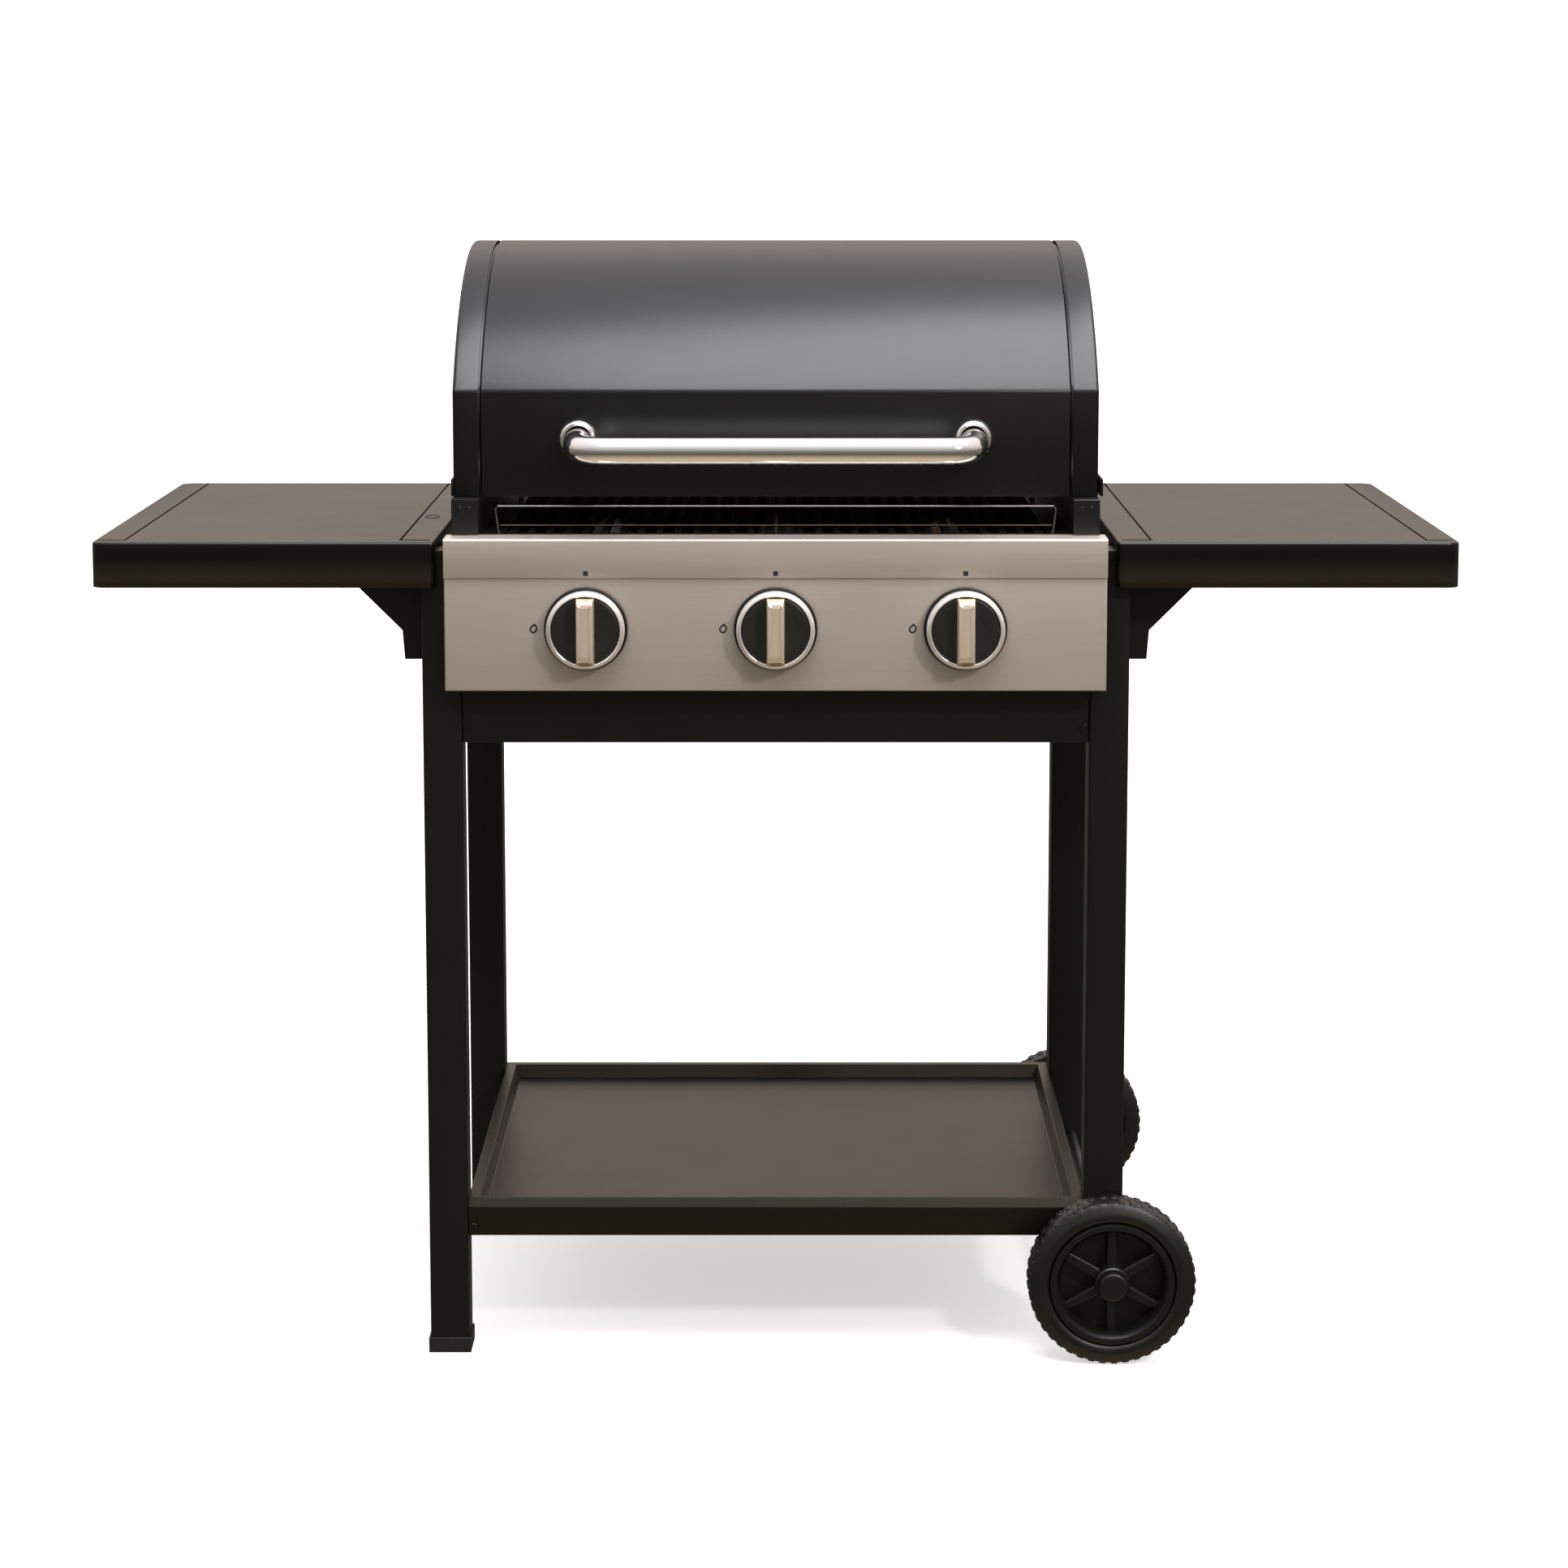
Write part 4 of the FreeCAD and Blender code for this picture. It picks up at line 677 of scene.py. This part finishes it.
PANEL_FOLD = 2.2 * MM       # radius of the bends along the panel's and the cap's front edges
CAP_SHEET = 1.9 * MM
panel_steel = brushed("panel_steel", (0.66, 0.585, 0.515), 0.34, (0.02, 1, 1), metallic=0.55)
print_black = moulded("print_black", (0.012, 0.011, 0.010), 0.6)
panel_low, panel_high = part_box("control_panel")
cap_low, cap_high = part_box("panel_cap")

panel = bmesh.new()
slab(panel, panel_low, (panel_high.x, panel_high.y, panel_high.z - 0.5 * MM))
bmesh.ops.recalc_face_normals(panel, faces=panel.faces)
bmesh.ops.delete(panel, geom=[face for face in panel.faces if face.normal.y > 0.9], context="FACES")
ease(panel, edges_where(panel, lambda at: at.y < panel_low.y + 0.1 * MM), PANEL_FOLD, 4)
sheet_thick(settle(panel, "panel_box", panel_steel, "control_panel", outward=False), SHEET)

cap = bmesh.new()
slab(cap, cap_low, cap_high)
bmesh.ops.recalc_face_normals(cap, faces=cap.faces)
bmesh.ops.delete(cap, context="FACES", geom=[
    face for face in cap.faces if face.normal.y > 0.9 or face.normal.z < -0.9])
front_top = edges_where(cap, lambda at: at.y < cap_low.y + 0.1 * MM and at.z > cap_high.z - 0.1 * MM)
ease(cap, front_top, PANEL_FOLD, 5)
cap_piece = settle(cap, "panel_cap_folded", panel_steel, "panel_cap", outward=False)
rounded_off(sheet_thick(cap_piece, CAP_SHEET), 0.4 * MM, 2, 40)

# A thin black strip behind the panel closes the gap between its foot and the front rail. It is painted
# shade: a dark sheet standing in for the shadow under the panel.
strip = bmesh.new()
rail_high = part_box("front_rail")[1]
strip_gap, overlap = 0.2 * MM, 1 * MM
slab(strip, (-rail_high.x, panel_high.y + strip_gap, rail_high.z - overlap),
     (rail_high.x, panel_high.y + strip_gap + SHEET, panel_low.z + overlap))
settle(strip, "panel_shade_strip", frame_paint, body="cart")


def knob_centre(column):
    low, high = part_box(f"knob_{column}")
    return Vector(((low.x + high.x) / 2, panel_low.y, (low.z + high.z) / 2))


def faces_out(bm, faces, step):
    """Moves these faces by a step and builds the walls behind them."""
    grown = bmesh.ops.extrude_face_region(bm, geom=faces)["geom"]
    bmesh.ops.translate(bm, vec=step, verts=points_in(grown))


def print_mark(bm, outline, front, line=0.0):
    """A printed mark: a thin raised patch on the sheet with this outline, or only its line."""
    skin = 0.12 * MM
    patch = bm.faces.new([bm.verts.new((x, front, z)) for x, z in outline])
    printed = [patch]
    if line:
        known = set(bm.faces)
        patch.normal_update()
        bmesh.ops.inset_region(bm, faces=[patch], thickness=line, depth=0, use_boundary=True)
        printed = [face for face in bm.faces if face not in known]
        bmesh.ops.delete(bm, geom=[patch], context="FACES_ONLY")
    faces_out(bm, printed, (0, -skin, 0))


def flame_outline(centre_x, centre_z, height):
    """A drop with its tip blown to one side."""
    steps = 20
    points = []
    for number in range(steps):
        turn = math.tau * number / steps
        lift = (1 - math.cos(turn)) / 2
        spread = math.sin(turn) * (1 - lift) ** 0.6 * (0.35 + lift * 0.5)
        lean = 0.14 * lift * lift
        points.append((centre_x + (spread + lean) * height, centre_z + (lift - 0.5) * height))
    return points


DOT_HALF = 2.1 * MM
DOT_LIFT = 4 * MM           # over the cap's foot
FLAME_ASIDE = 46 * MM       # to the left of the knob's middle
FLAME_HEIGHT = 8.8 * MM
FLAME_LINE = 1.5 * MM
marks = bmesh.new()
for column in ("left", "middle", "right"):
    centre = knob_centre(column)
    dot_z = cap_low.z + DOT_LIFT
    dot = [(centre.x + DOT_HALF * across, dot_z + DOT_HALF * up)
           for across, up in ((-1, -1), (1, -1), (1, 1), (-1, 1))]
    flame = flame_outline(centre.x - FLAME_ASIDE, centre.z, FLAME_HEIGHT)
    print_mark(marks, dot, cap_low.y)
    print_mark(marks, flame, panel_low.y, line=FLAME_LINE)
settle(marks, "panel_marks", print_black, body="cart")

# ------------------------ knobs
# Each burner has a turning knob: a black moulded disc in a polished ring, with a brushed grip bar
# across it. It sits in a black cup on the panel and turns on the tap's brass stem.

bezel_black = moulded("bezel_black", (0.010, 0.010, 0.010), 0.3)
knob_black = moulded("knob_black", (0.0105, 0.0105, 0.0095), 0.38)
knob_metal = brushed("knob_metal", (0.84, 0.70, 0.54), 0.24, (1, 1, 0.03), metallic=0.5)
ring_steel = brushed("ring_steel", (0.90, 0.87, 0.84), 0.20, (1, 1, 1), depth=0.005 * MM, metallic=0.6)
AXIS_FRONT = (0, -1, 0)     # knobs and collars are turned about it
CUP_RADIUS = 36.5 * MM
RING_RADIUS = 34.2 * MM
DISC_RADIUS = 29.8 * MM


def make_bezels():
    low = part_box("knob_bezels")[0]
    bore, mouth = 9 * MM, 35.1 * MM
    depth = panel_low.y - low.y
    bm = bmesh.new()
    for column in ("left", "middle", "right"):
        turned(bm, [(bore, 0), (CUP_RADIUS, 0), (CUP_RADIUS, depth - 1.2 * MM),
                    (36.2 * MM, depth - 0.4 * MM), (35.9 * MM, depth), (35.2 * MM, depth - 0.2 * MM),
                    (mouth, depth - 1 * MM), (mouth, SHEET), (bore, SHEET), (bore, 0)],
               knob_centre(column), AXIS_FRONT, 96)
    settle(bm, "knob_cups", bezel_black, "knob_bezels")


def make_knob(column):
    low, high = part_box(f"knob_{column}")
    centre = knob_centre(column)
    back = panel_low.y - high.y
    front = panel_low.y - low.y
    disc = bmesh.new()
    turned(disc, [(0, back), (29.4 * MM, back), (DISC_RADIUS, back + 0.4 * MM),
                  (DISC_RADIUS, front - 2.2 * MM), (29.4 * MM, front - 0.9 * MM),
                  (28.6 * MM, front - 0.2 * MM), (27.6 * MM, front), (20 * MM, front - 0.7 * MM),
                  (9 * MM, front - 1.1 * MM), (0, front - 1.2 * MM)], centre, AXIS_FRONT, 80)
    settle(disc, f"knob_disc_{column}", knob_black, f"knob_{column}")
    ring = bmesh.new()
    lip = front + 1 * MM
    inner = DISC_RADIUS + 0.2 * MM
    turned(ring, [(inner, back), (33.9 * MM, back), (RING_RADIUS, back + 0.4 * MM),
                  (RING_RADIUS, lip - 3.2 * MM), (33.8 * MM, lip - 2.2 * MM), (33.1 * MM, lip - 1.3 * MM),
                  (32.2 * MM, lip - 0.55 * MM), (31.3 * MM, lip - 0.1 * MM), (30.8 * MM, lip),
                  (30.3 * MM, lip - 0.3 * MM), (inner, lip - 1.4 * MM), (inner, back)],
           centre, AXIS_FRONT, 96)
    settle(ring, f"knob_ring_{column}", ring_steel, f"knob_trim_{column}")
    make_grip(column, centre, front)


def width_of(edge):
    return abs(edge.verts[0].co.x - edge.verts[1].co.x)


def make_grip(column, centre, front):
    """A bar whose face is a shallow hollow between two rounded shoulders, curved back at its ends."""
    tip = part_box(f"knob_trim_{column}")[0].y
    half_width, half_height, sunk_in_disc = 8 * MM, 28.4 * MM, 1.5 * MM
    taper = 0.12
    end_radius, shoulder_radius = 6.5 * MM, 1.5 * MM
    shoulder, hollow = 2.2 * MM, 0.7 * MM
    grip = bmesh.new()
    slab(grip, (centre.x - half_width, tip, centre.z - half_height),
         (centre.x + half_width, centre.y - front + sunk_in_disc, centre.z + half_height))
    for point in grip.verts:
        if point.co.y < tip + 1 * MM:
            point.co.x += (centre.x - point.co.x) * taper
    front_ends = [edge for edge in edges_where(grip, lambda at: at.y < tip + 1 * MM)
                  if abs(edge.verts[0].co.z - edge.verts[1].co.z) < 1 * MM]
    ease(grip, front_ends, end_radius, 7)
    sides = [edge for edge in grip.edges if len(edge.link_faces) == 2
             and edge.calc_face_angle(0) > math.radians(60) and width_of(edge) < 0.2 * MM]
    ease(grip, sides, shoulder_radius, 4)
    face = [f for f in grip.faces
            if f.normal.y < -0.95 or (abs(f.normal.x) < 0.1 and f.normal.y < -0.05)]
    bmesh.ops.inset_region(grip, faces=face, thickness=shoulder, depth=-hollow, use_even_offset=True)
    bar = settle(grip, f"knob_grip_{column}", knob_metal, body=f"control_knob_{column}", smooth=40)
    rounded_off(bar, 0.35 * MM, 2, 20)


make_bezels()
for column in ("left", "middle", "right"):
    make_knob(column)
    dressed(f"knob_stem_{column}", gas_brass, 0.3 * MM)

# ------------------------ hood
# A barrel lid of pressed steel in charcoal paint: a flat front wall, a creased arc over the top, and
# two end caps that meet it in a shadow gap. A turned-out hem runs along the foot of each end cap.

hood_paint = painted("hood_paint", (0.0016, 0.0018, 0.0020), 0.34, grain=0.3, flake=0.12)
shell_low, shell_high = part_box("hood_shell")
HEM_STEP = 2 * MM           # how far the hem stands out from the wall
HEM_HEIGHT = 15.5 * MM
CREASE = 2.2 * MM           # radius of the crease between the front wall and the arc
HOOD_FRONT = shell_low.y + HEM_STEP
HOOD_BACK = shell_high.y
HOOD_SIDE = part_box("hood_end_right")[1].x - HEM_STEP
HOOD_BOTTOM = shell_low.z
ARC_RADIUS = 295 * MM
ARC_Y = HOOD_FRONT + 238.5 * MM
ARC_Z = shell_high.z - ARC_RADIUS
SEAM = shell_high.x
GAP = 1.4 * MM              # half of the shadow gap between the shell and an end cap


def hood_line(bm, x, inset=0.0):
    """Front wall, arc and back wall as one chain of edges across the hood at x, moved in by inset."""
    front, back = HOOD_FRONT + inset, HOOD_BACK - inset
    radius = ARC_RADIUS - inset
    crease_z = ARC_Z + math.sqrt(radius ** 2 - (ARC_Y - front) ** 2)
    lean_front = math.asin((ARC_Y - front) / radius)
    lean_back = math.asin((back - ARC_Y) / radius)
    foot = bm.verts.new((x, front, HOOD_BOTTOM))
    crease = bm.verts.new((x, front, crease_z))
    bm.edges.new((foot, crease))
    swept = bmesh.ops.spin(bm, geom=[crease], cent=(x, ARC_Y, ARC_Z), axis=(-1, 0, 0), dvec=(0, 0, 0),
                           angle=lean_front + lean_back, steps=56, use_duplicate=False)
    heel = bm.verts.new((x, back, HOOD_BOTTOM))
    bm.edges.new((points_in(swept["geom_last"])[0], heel))
    return crease_z


def face_away(bm, middle):
    """Turns an open skin so that it faces away from a point in its middle."""
    bmesh.ops.recalc_face_normals(bm, faces=bm.faces)
    bm.normal_update()
    outwards = 0
    for face in bm.faces:
        arm = face.calc_center_median() - Vector(middle)
        outwards += arm.dot(face.normal) * face.calc_area()
    if outwards < 0:
        bmesh.ops.reverse_faces(bm, faces=bm.faces)


def make_shell():
    bm = bmesh.new()
    reach = SEAM - GAP
    crease_z = hood_line(bm, -reach)
    drawn_out(bm, bm.edges[:], (2 * reach, 0, 0))
    face_away(bm, (0, ARC_Y, ARC_Z))
    creases = edges_where(bm, lambda at: abs(at.z - crease_z) < 0.5 * MM and at.y < ARC_Y)
    ease(bm, creases, CREASE, 4)
    shell = settle(bm, "hood_barrel", hood_paint, "hood_shell", outward=False, smooth=25)
    rounded_off(sheet_thick(shell, SHEET), 0.5 * MM, 3, 50)


def make_end_cap(side_name, side):
    x = side * HOOD_SIDE
    border, step_width, step_depth, shoulder = 16 * MM, 1.5 * MM, 1.2 * MM, 3.5 * MM
    bm = bmesh.new()
    crease_z = hood_line(bm, x)
    ends = [point for point in bm.verts if len(point.link_edges) == 1]
    outline = bm.edges[:]
    bm.edges.new(ends)
    drawn_out(bm, outline, (side * (SEAM + GAP - HOOD_SIDE), 0, 0))
    around = edges_where(bm, lambda at: abs(at.x - x) < 0.1 * MM)
    wall = bmesh.ops.contextual_create(bm, geom=around)["faces"]
    face_away(bm, (0, ARC_Y, HOOD_BOTTOM + 50 * MM))
    bmesh.ops.inset_region(bm, faces=wall, thickness=border, depth=0, use_even_offset=True)
    bmesh.ops.inset_region(bm, faces=wall, thickness=step_width, depth=-step_depth, use_even_offset=True)
    shoulders = [edge for edge in edges_where(bm, lambda at: abs(at.x - x) < 0.1 * MM)
                 if len(edge.link_faces) == 2 and edge.calc_face_angle(0) > math.radians(60)]
    ease(bm, shoulders, shoulder, 5)
    at_crease = edges_where(bm, lambda at: abs(at.z - crease_z) < 4 * MM and at.y < ARC_Y - 200 * MM)
    ease(bm, [edge for edge in at_crease if width_of(edge) > 10 * MM], CREASE, 4)
    piece = settle(bm, f"hood_cap_{side_name}", hood_paint, f"hood_end_{side_name}",
                   outward=False, smooth=25)
    rounded_off(sheet_thick(piece, SHEET), 0.5 * MM, 3, 50)


def make_gap_strip(side_name, side):
    """Strip welded inside the end cap, a little way down in the shadow gap."""
    overlap, width, down = 5 * MM, 16 * MM, 3 * MM
    bm = bmesh.new()
    hood_line(bm, side * (SEAM - overlap), inset=down)
    drawn_out(bm, bm.edges[:], (side * width, 0, 0))
    face_away(bm, (0, ARC_Y, ARC_Z))
    gap_strip = settle(bm, f"hood_gap_strip_{side_name}", screw_black, body="hood", outward=False)
    sheet_thick(gap_strip, 1 * MM)


def make_hem():
    """A length of folded hem along the foot of each end cap."""
    bm = bmesh.new()
    for side in (-1, 1):
        side_x = side * (HOOD_SIDE + HEM_STEP)
        ends = [bm.verts.new((side_x, y, HOOD_BOTTOM)) for y in (HOOD_FRONT + 0.3 * MM, HOOD_BACK)]
        drawn_out(bm, [bm.edges.new(ends)], (0, 0, HEM_HEIGHT))
    face_away(bm, (0, ARC_Y, HOOD_BOTTOM))
    hem = settle(bm, "hood_hem", hood_paint, body="hood", outward=False)
    rounded_off(sheet_thick(hem, HEM_STEP + 0.4 * MM), 0.7 * MM, 3, 50)


def make_hinge_ears():
    """The hood's two ears: plates that hang from the end caps and turn on the castings' pins."""
    pin_low, pin_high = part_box("hinge_pins")
    pin = (pin_low + pin_high) / 2
    inner, outer = 268.3 * MM, 274.3 * MM
    half_knuckle, rise, knuckle_radius = 6.4 * MM, 32 * MM, 2.6 * MM
    inside = HOOD_BACK - 0.6 * MM
    plate = [(inside, HOOD_BOTTOM), (pin.y - half_knuckle, pin.z), (pin.y, pin.z - 6.5 * MM),
             (pin.y + half_knuckle, pin.z), (HOOD_BACK + 2 * MM, pin.z + rise), (inside, pin.z + rise)]
    bm = bmesh.new()
    for side in (-1, 1):
        face = bm.faces.new([bm.verts.new((side * inner, y, z)) for y, z in plate])
        faces_out(bm, [face], (side * (outer - inner), 0, 0))
    knuckles = edges_where(bm, lambda at: at.z < pin.z + 1 * MM and at.y > pin.y - 7 * MM)
    ease(bm, [edge for edge in knuckles if width_of(edge) > 1 * MM], knuckle_radius, 4)
    ears = settle(bm, "hood_hinge_ears", hood_paint, body="hood")
    rounded_off(ears, 0.5 * MM, 2, 50)


make_shell()
for side_name, side in (("left", -1), ("right", 1)):
    make_end_cap(side_name, side)
    make_gap_strip(side_name, side)
make_hem()
make_hinge_ears()

# ------------------------ handle
# A chromed tube across the front of the hood, bent back at both ends into two turned chrome collars
# and held from inside the hood by a screw in each end.

chrome = plated("chrome", (0.93, 0.92, 0.91), 0.10)
HANDLE_RISE = 6 * MM        # how much higher the collars sit than the grip
HANDLE_BEND = 25 * MM


def make_handle():
    low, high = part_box("hood_handle")
    radius = (high.z - low.z) / 2
    height = (high.z + low.z) / 2
    front = low.y + radius
    turn_x = high.x - radius - HANDLE_BEND
    turn_y = front + HANDLE_BEND
    start = Matrix.Translation((-turn_x - HANDLE_BEND, HOOD_FRONT, height))
    lie_down = Matrix.Rotation(math.radians(90), 4, "X")
    bm = bmesh.new()
    bmesh.ops.create_circle(bm, cap_ends=False, radius=radius, segments=48, matrix=start @ lie_down)
    loop = drawn_out(bm, bm.edges[:], (0, turn_y - HOOD_FRONT, 0))
    for bend_x, step in ((-turn_x, (2 * turn_x, 0, 0)), (turn_x, (0, HOOD_FRONT - turn_y, 0))):
        geom = loop + list({point for edge in loop for point in edge.verts})
        bent = bmesh.ops.spin(bm, geom=geom, cent=(bend_x, turn_y, height), axis=(0, 0, 1), dvec=(0, 0, 0),
                              angle=math.radians(90), steps=16, use_duplicate=False)["geom_last"]
        loop = drawn_out(bm, edges_in(bent), step)
    bmesh.ops.remove_doubles(bm, verts=bm.verts, dist=0.01 * MM)
    bmesh.ops.holes_fill(bm, edges=[edge for edge in bm.edges if len(edge.link_faces) == 1], sides=0)
    for point in bm.verts:
        back_share = max(0, (point.co.y - front) / (HOOD_FRONT - front))
        point.co.z += HANDLE_RISE * min(1, back_share * 1.4) ** 1.5
    settle(bm, "handle_tube", chrome, "hood_handle")


def make_collars():
    low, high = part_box("handle_ferrules")
    radius = (high.z - low.z) / 2
    length = high.y - low.y
    bore = 12.1 * MM
    bm = bmesh.new()
    for side in (-1, 1):
        centre = Vector((side * (high.x - radius), high.y, (low.z + high.z) / 2 + HANDLE_RISE))
        turned(bm, [(bore, 0), (radius, 0), (radius, length * 0.45), (radius - 0.3 * MM, length * 0.62),
                    (radius - 1.1 * MM, length * 0.8), (radius - 2.2 * MM, length * 0.93),
                    (radius - 3.2 * MM, length), (13.4 * MM, length), (13.0 * MM, length - 0.8 * MM),
                    (12.5 * MM, length - 1 * MM), (bore, length - 1 * MM), (bore, 0)],
               centre, AXIS_FRONT, 72)
    settle(bm, "handle_collars", chrome, "handle_ferrules")


make_handle()
make_collars()
dressed("handle_screws", zinc_steel, 0.4 * MM)

# ------------------------ side tables
# Two pressed tables with turned-down skirts. A groove in the top marks off a strip at each end, and
# the left one has a tool slot. Gusset brackets with a toe hold them to the legs, and they fold down.

table_paint = painted("table_paint", (0.0022, 0.0022, 0.0018), 0.28, grain=0.25, ior=1.43,
                      tint=(1, 0.96, 0.90))
GROOVE = 2.2 * MM           # width of the grooves that run from front to back
GROOVE_FRONT = 5 * MM       # width of their short front parts
GROOVE_DEPTH = 2.2 * MM
GROOVE_MARGIN = 5 * MM      # between a front part's far end and the table's end


def cut_lines(bm, direction, places):
    """Scores the skin with planes across a direction."""
    for at in places:
        bmesh.ops.bisect_plane(bm, geom=bm.verts[:] + bm.edges[:] + bm.faces[:],
                               plane_co=direction * at, plane_no=direction)


def make_table(side_name, side):
    low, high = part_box(f"table_{side_name}")
    inner, outer = sorted((low.x, high.x), key=abs)
    top = high.z
    shoulder = 2.4 * MM
    bm = bmesh.new()
    bm.faces.new([bm.verts.new((x, y, top)) for x, y in (
        (low.x, low.y), (high.x, low.y), (high.x, high.y), (low.x, high.y))])
    for end_x, corner, segments in ((outer, 12 * MM, 8), (inner, 4 * MM, 4)):
        bmesh.ops.bevel(bm, geom=[v for v in bm.verts if abs(v.co.x - end_x) < 1 * MM], offset=corner,
                        segments=segments, profile=0.5, affect="VERTICES", material=-1)
    drawn_out(bm, bm.edges[:], (0, 0, low.z - top))
    face_away(bm, ((low.x + high.x) / 2, (low.y + high.y) / 2, low.z))
    ease(bm, edges_where(bm, lambda at: abs(at.z - top) < 0.1 * MM), shoulder, 5)
    score_grooves(bm, side, inner, outer, low.y + 17 * MM, high.y - 4 * MM, top)
    table = settle(bm, f"table_skin_{side_name}", table_paint, f"table_{side_name}",
                   f"table_trims_{side_name}", outward=False, smooth=30)
    sheet_thick(table, SHEET)


def score_grooves(bm, side, inner, outer, front_stop, back_stop, top):
    """Sinks two L-shaped grooves: along each end strip, then out across its front end."""
    strip_in, strip_out = 31 * MM, 27.5 * MM
    spans = [(inner + side * GROOVE_MARGIN, inner + side * strip_in),
             (outer - side * GROOVE_MARGIN, outer - side * strip_out)]
    lines = sorted(line for _, line in spans)
    cut_lines(bm, Vector((1, 0, 0)), [at + shift for at in lines for shift in (-GROOVE / 2, GROOVE / 2)])
    front_edges = [front_stop - GROOVE_FRONT / 2, front_stop + GROOVE_FRONT / 2]
    cut_lines(bm, Vector((0, 1, 0)), front_edges + [back_stop])
    cut_lines(bm, Vector((1, 0, 0)), [far_end for far_end, _ in spans])

    def sunk(face):
        middle = face.calc_center_median()
        if middle.z < top - 0.05 * MM or not front_stop - GROOVE_FRONT < middle.y < back_stop:
            return False
        along = any(abs(middle.x - at) < GROOVE / 2 for at in lines)
        across = any(min(span) < middle.x < max(span) for span in spans)
        return along or (across and abs(middle.y - front_stop) < GROOVE_FRONT / 2)

    floor_faces = [face for face in bm.faces if sunk(face)]
    faces_out(bm, floor_faces, (0, 0, -GROOVE_DEPTH))
    bmesh.ops.delete(bm, geom=floor_faces, context="FACES_ONLY")


def make_tool_slot():
    """A moulded eyelet pushed into the left table's slot."""
    low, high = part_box("table_left")
    half_width, half_length, deep, proud = 6.5 * MM, 11 * MM, 8 * MM, 0.5 * MM
    corner, lip, draft, pocket = 6.3 * MM, 0.9 * MM, 0.3 * MM, 7 * MM
    centre = Vector((-318 * MM, (low.y + high.y) / 2 - 49 * MM, high.z))
    bm = bmesh.new()
    slab(bm, centre - Vector((half_width, half_length, deep)),
         centre + Vector((half_width, half_length, proud)))
    ease(bm, [edge for edge in bm.edges if upright(edge)], corner, 8)
    bm.normal_update()
    top_face = [face for face in bm.faces if face.normal.z > 0.9]
    bmesh.ops.inset_region(bm, faces=top_face, thickness=lip, depth=0, use_even_offset=True)
    bmesh.ops.inset_region(bm, faces=top_face, thickness=draft, depth=-pocket, use_even_offset=True)
    eyelet = settle(bm, "table_tool_slot", foot_plastic, body="side_table_left", smooth=40)
    rounded_off(eyelet, 0.3 * MM, 2, 50)


for side_name, side in (("left", -1), ("right", 1)):
    make_table(side_name, side)
    dressed(f"table_brackets_{side_name}", frame_paint, 0.7 * MM, 2)
make_tool_slot()
dressed("pivot_studs", zinc_steel, 0.4 * MM, 2, 45)

# ------------------------ grease tray
# A shallow zinc-coated drawer under the drain hole. It slides out at the back on two folded runners.


def galvanised(name):
    """Zinc coating: flat crystals of slightly different brightness, dulled and stained with fat."""
    zinc = Finish(name, Metallic=1.0)
    crystal = zinc.cells(160)
    stain = (zinc.noise(14, 4) * 1.7 - 0.6).held()
    shade = zinc.mix(crystal * 2.2, (0.44, 0.45, 0.46), (0.60, 0.61, 0.62))
    zinc.wear(colour=zinc.mix(stain * 0.5, shade, (0.16, 0.12, 0.08)), roughness=0.34 + crystal * 0.5)
    return zinc.material


tray_zinc = galvanised("tray_zinc")
dressed("grease_tray", tray_zinc, 0.5 * MM, 2)
dressed("tray_runners", tray_zinc, 0.5 * MM, 2)
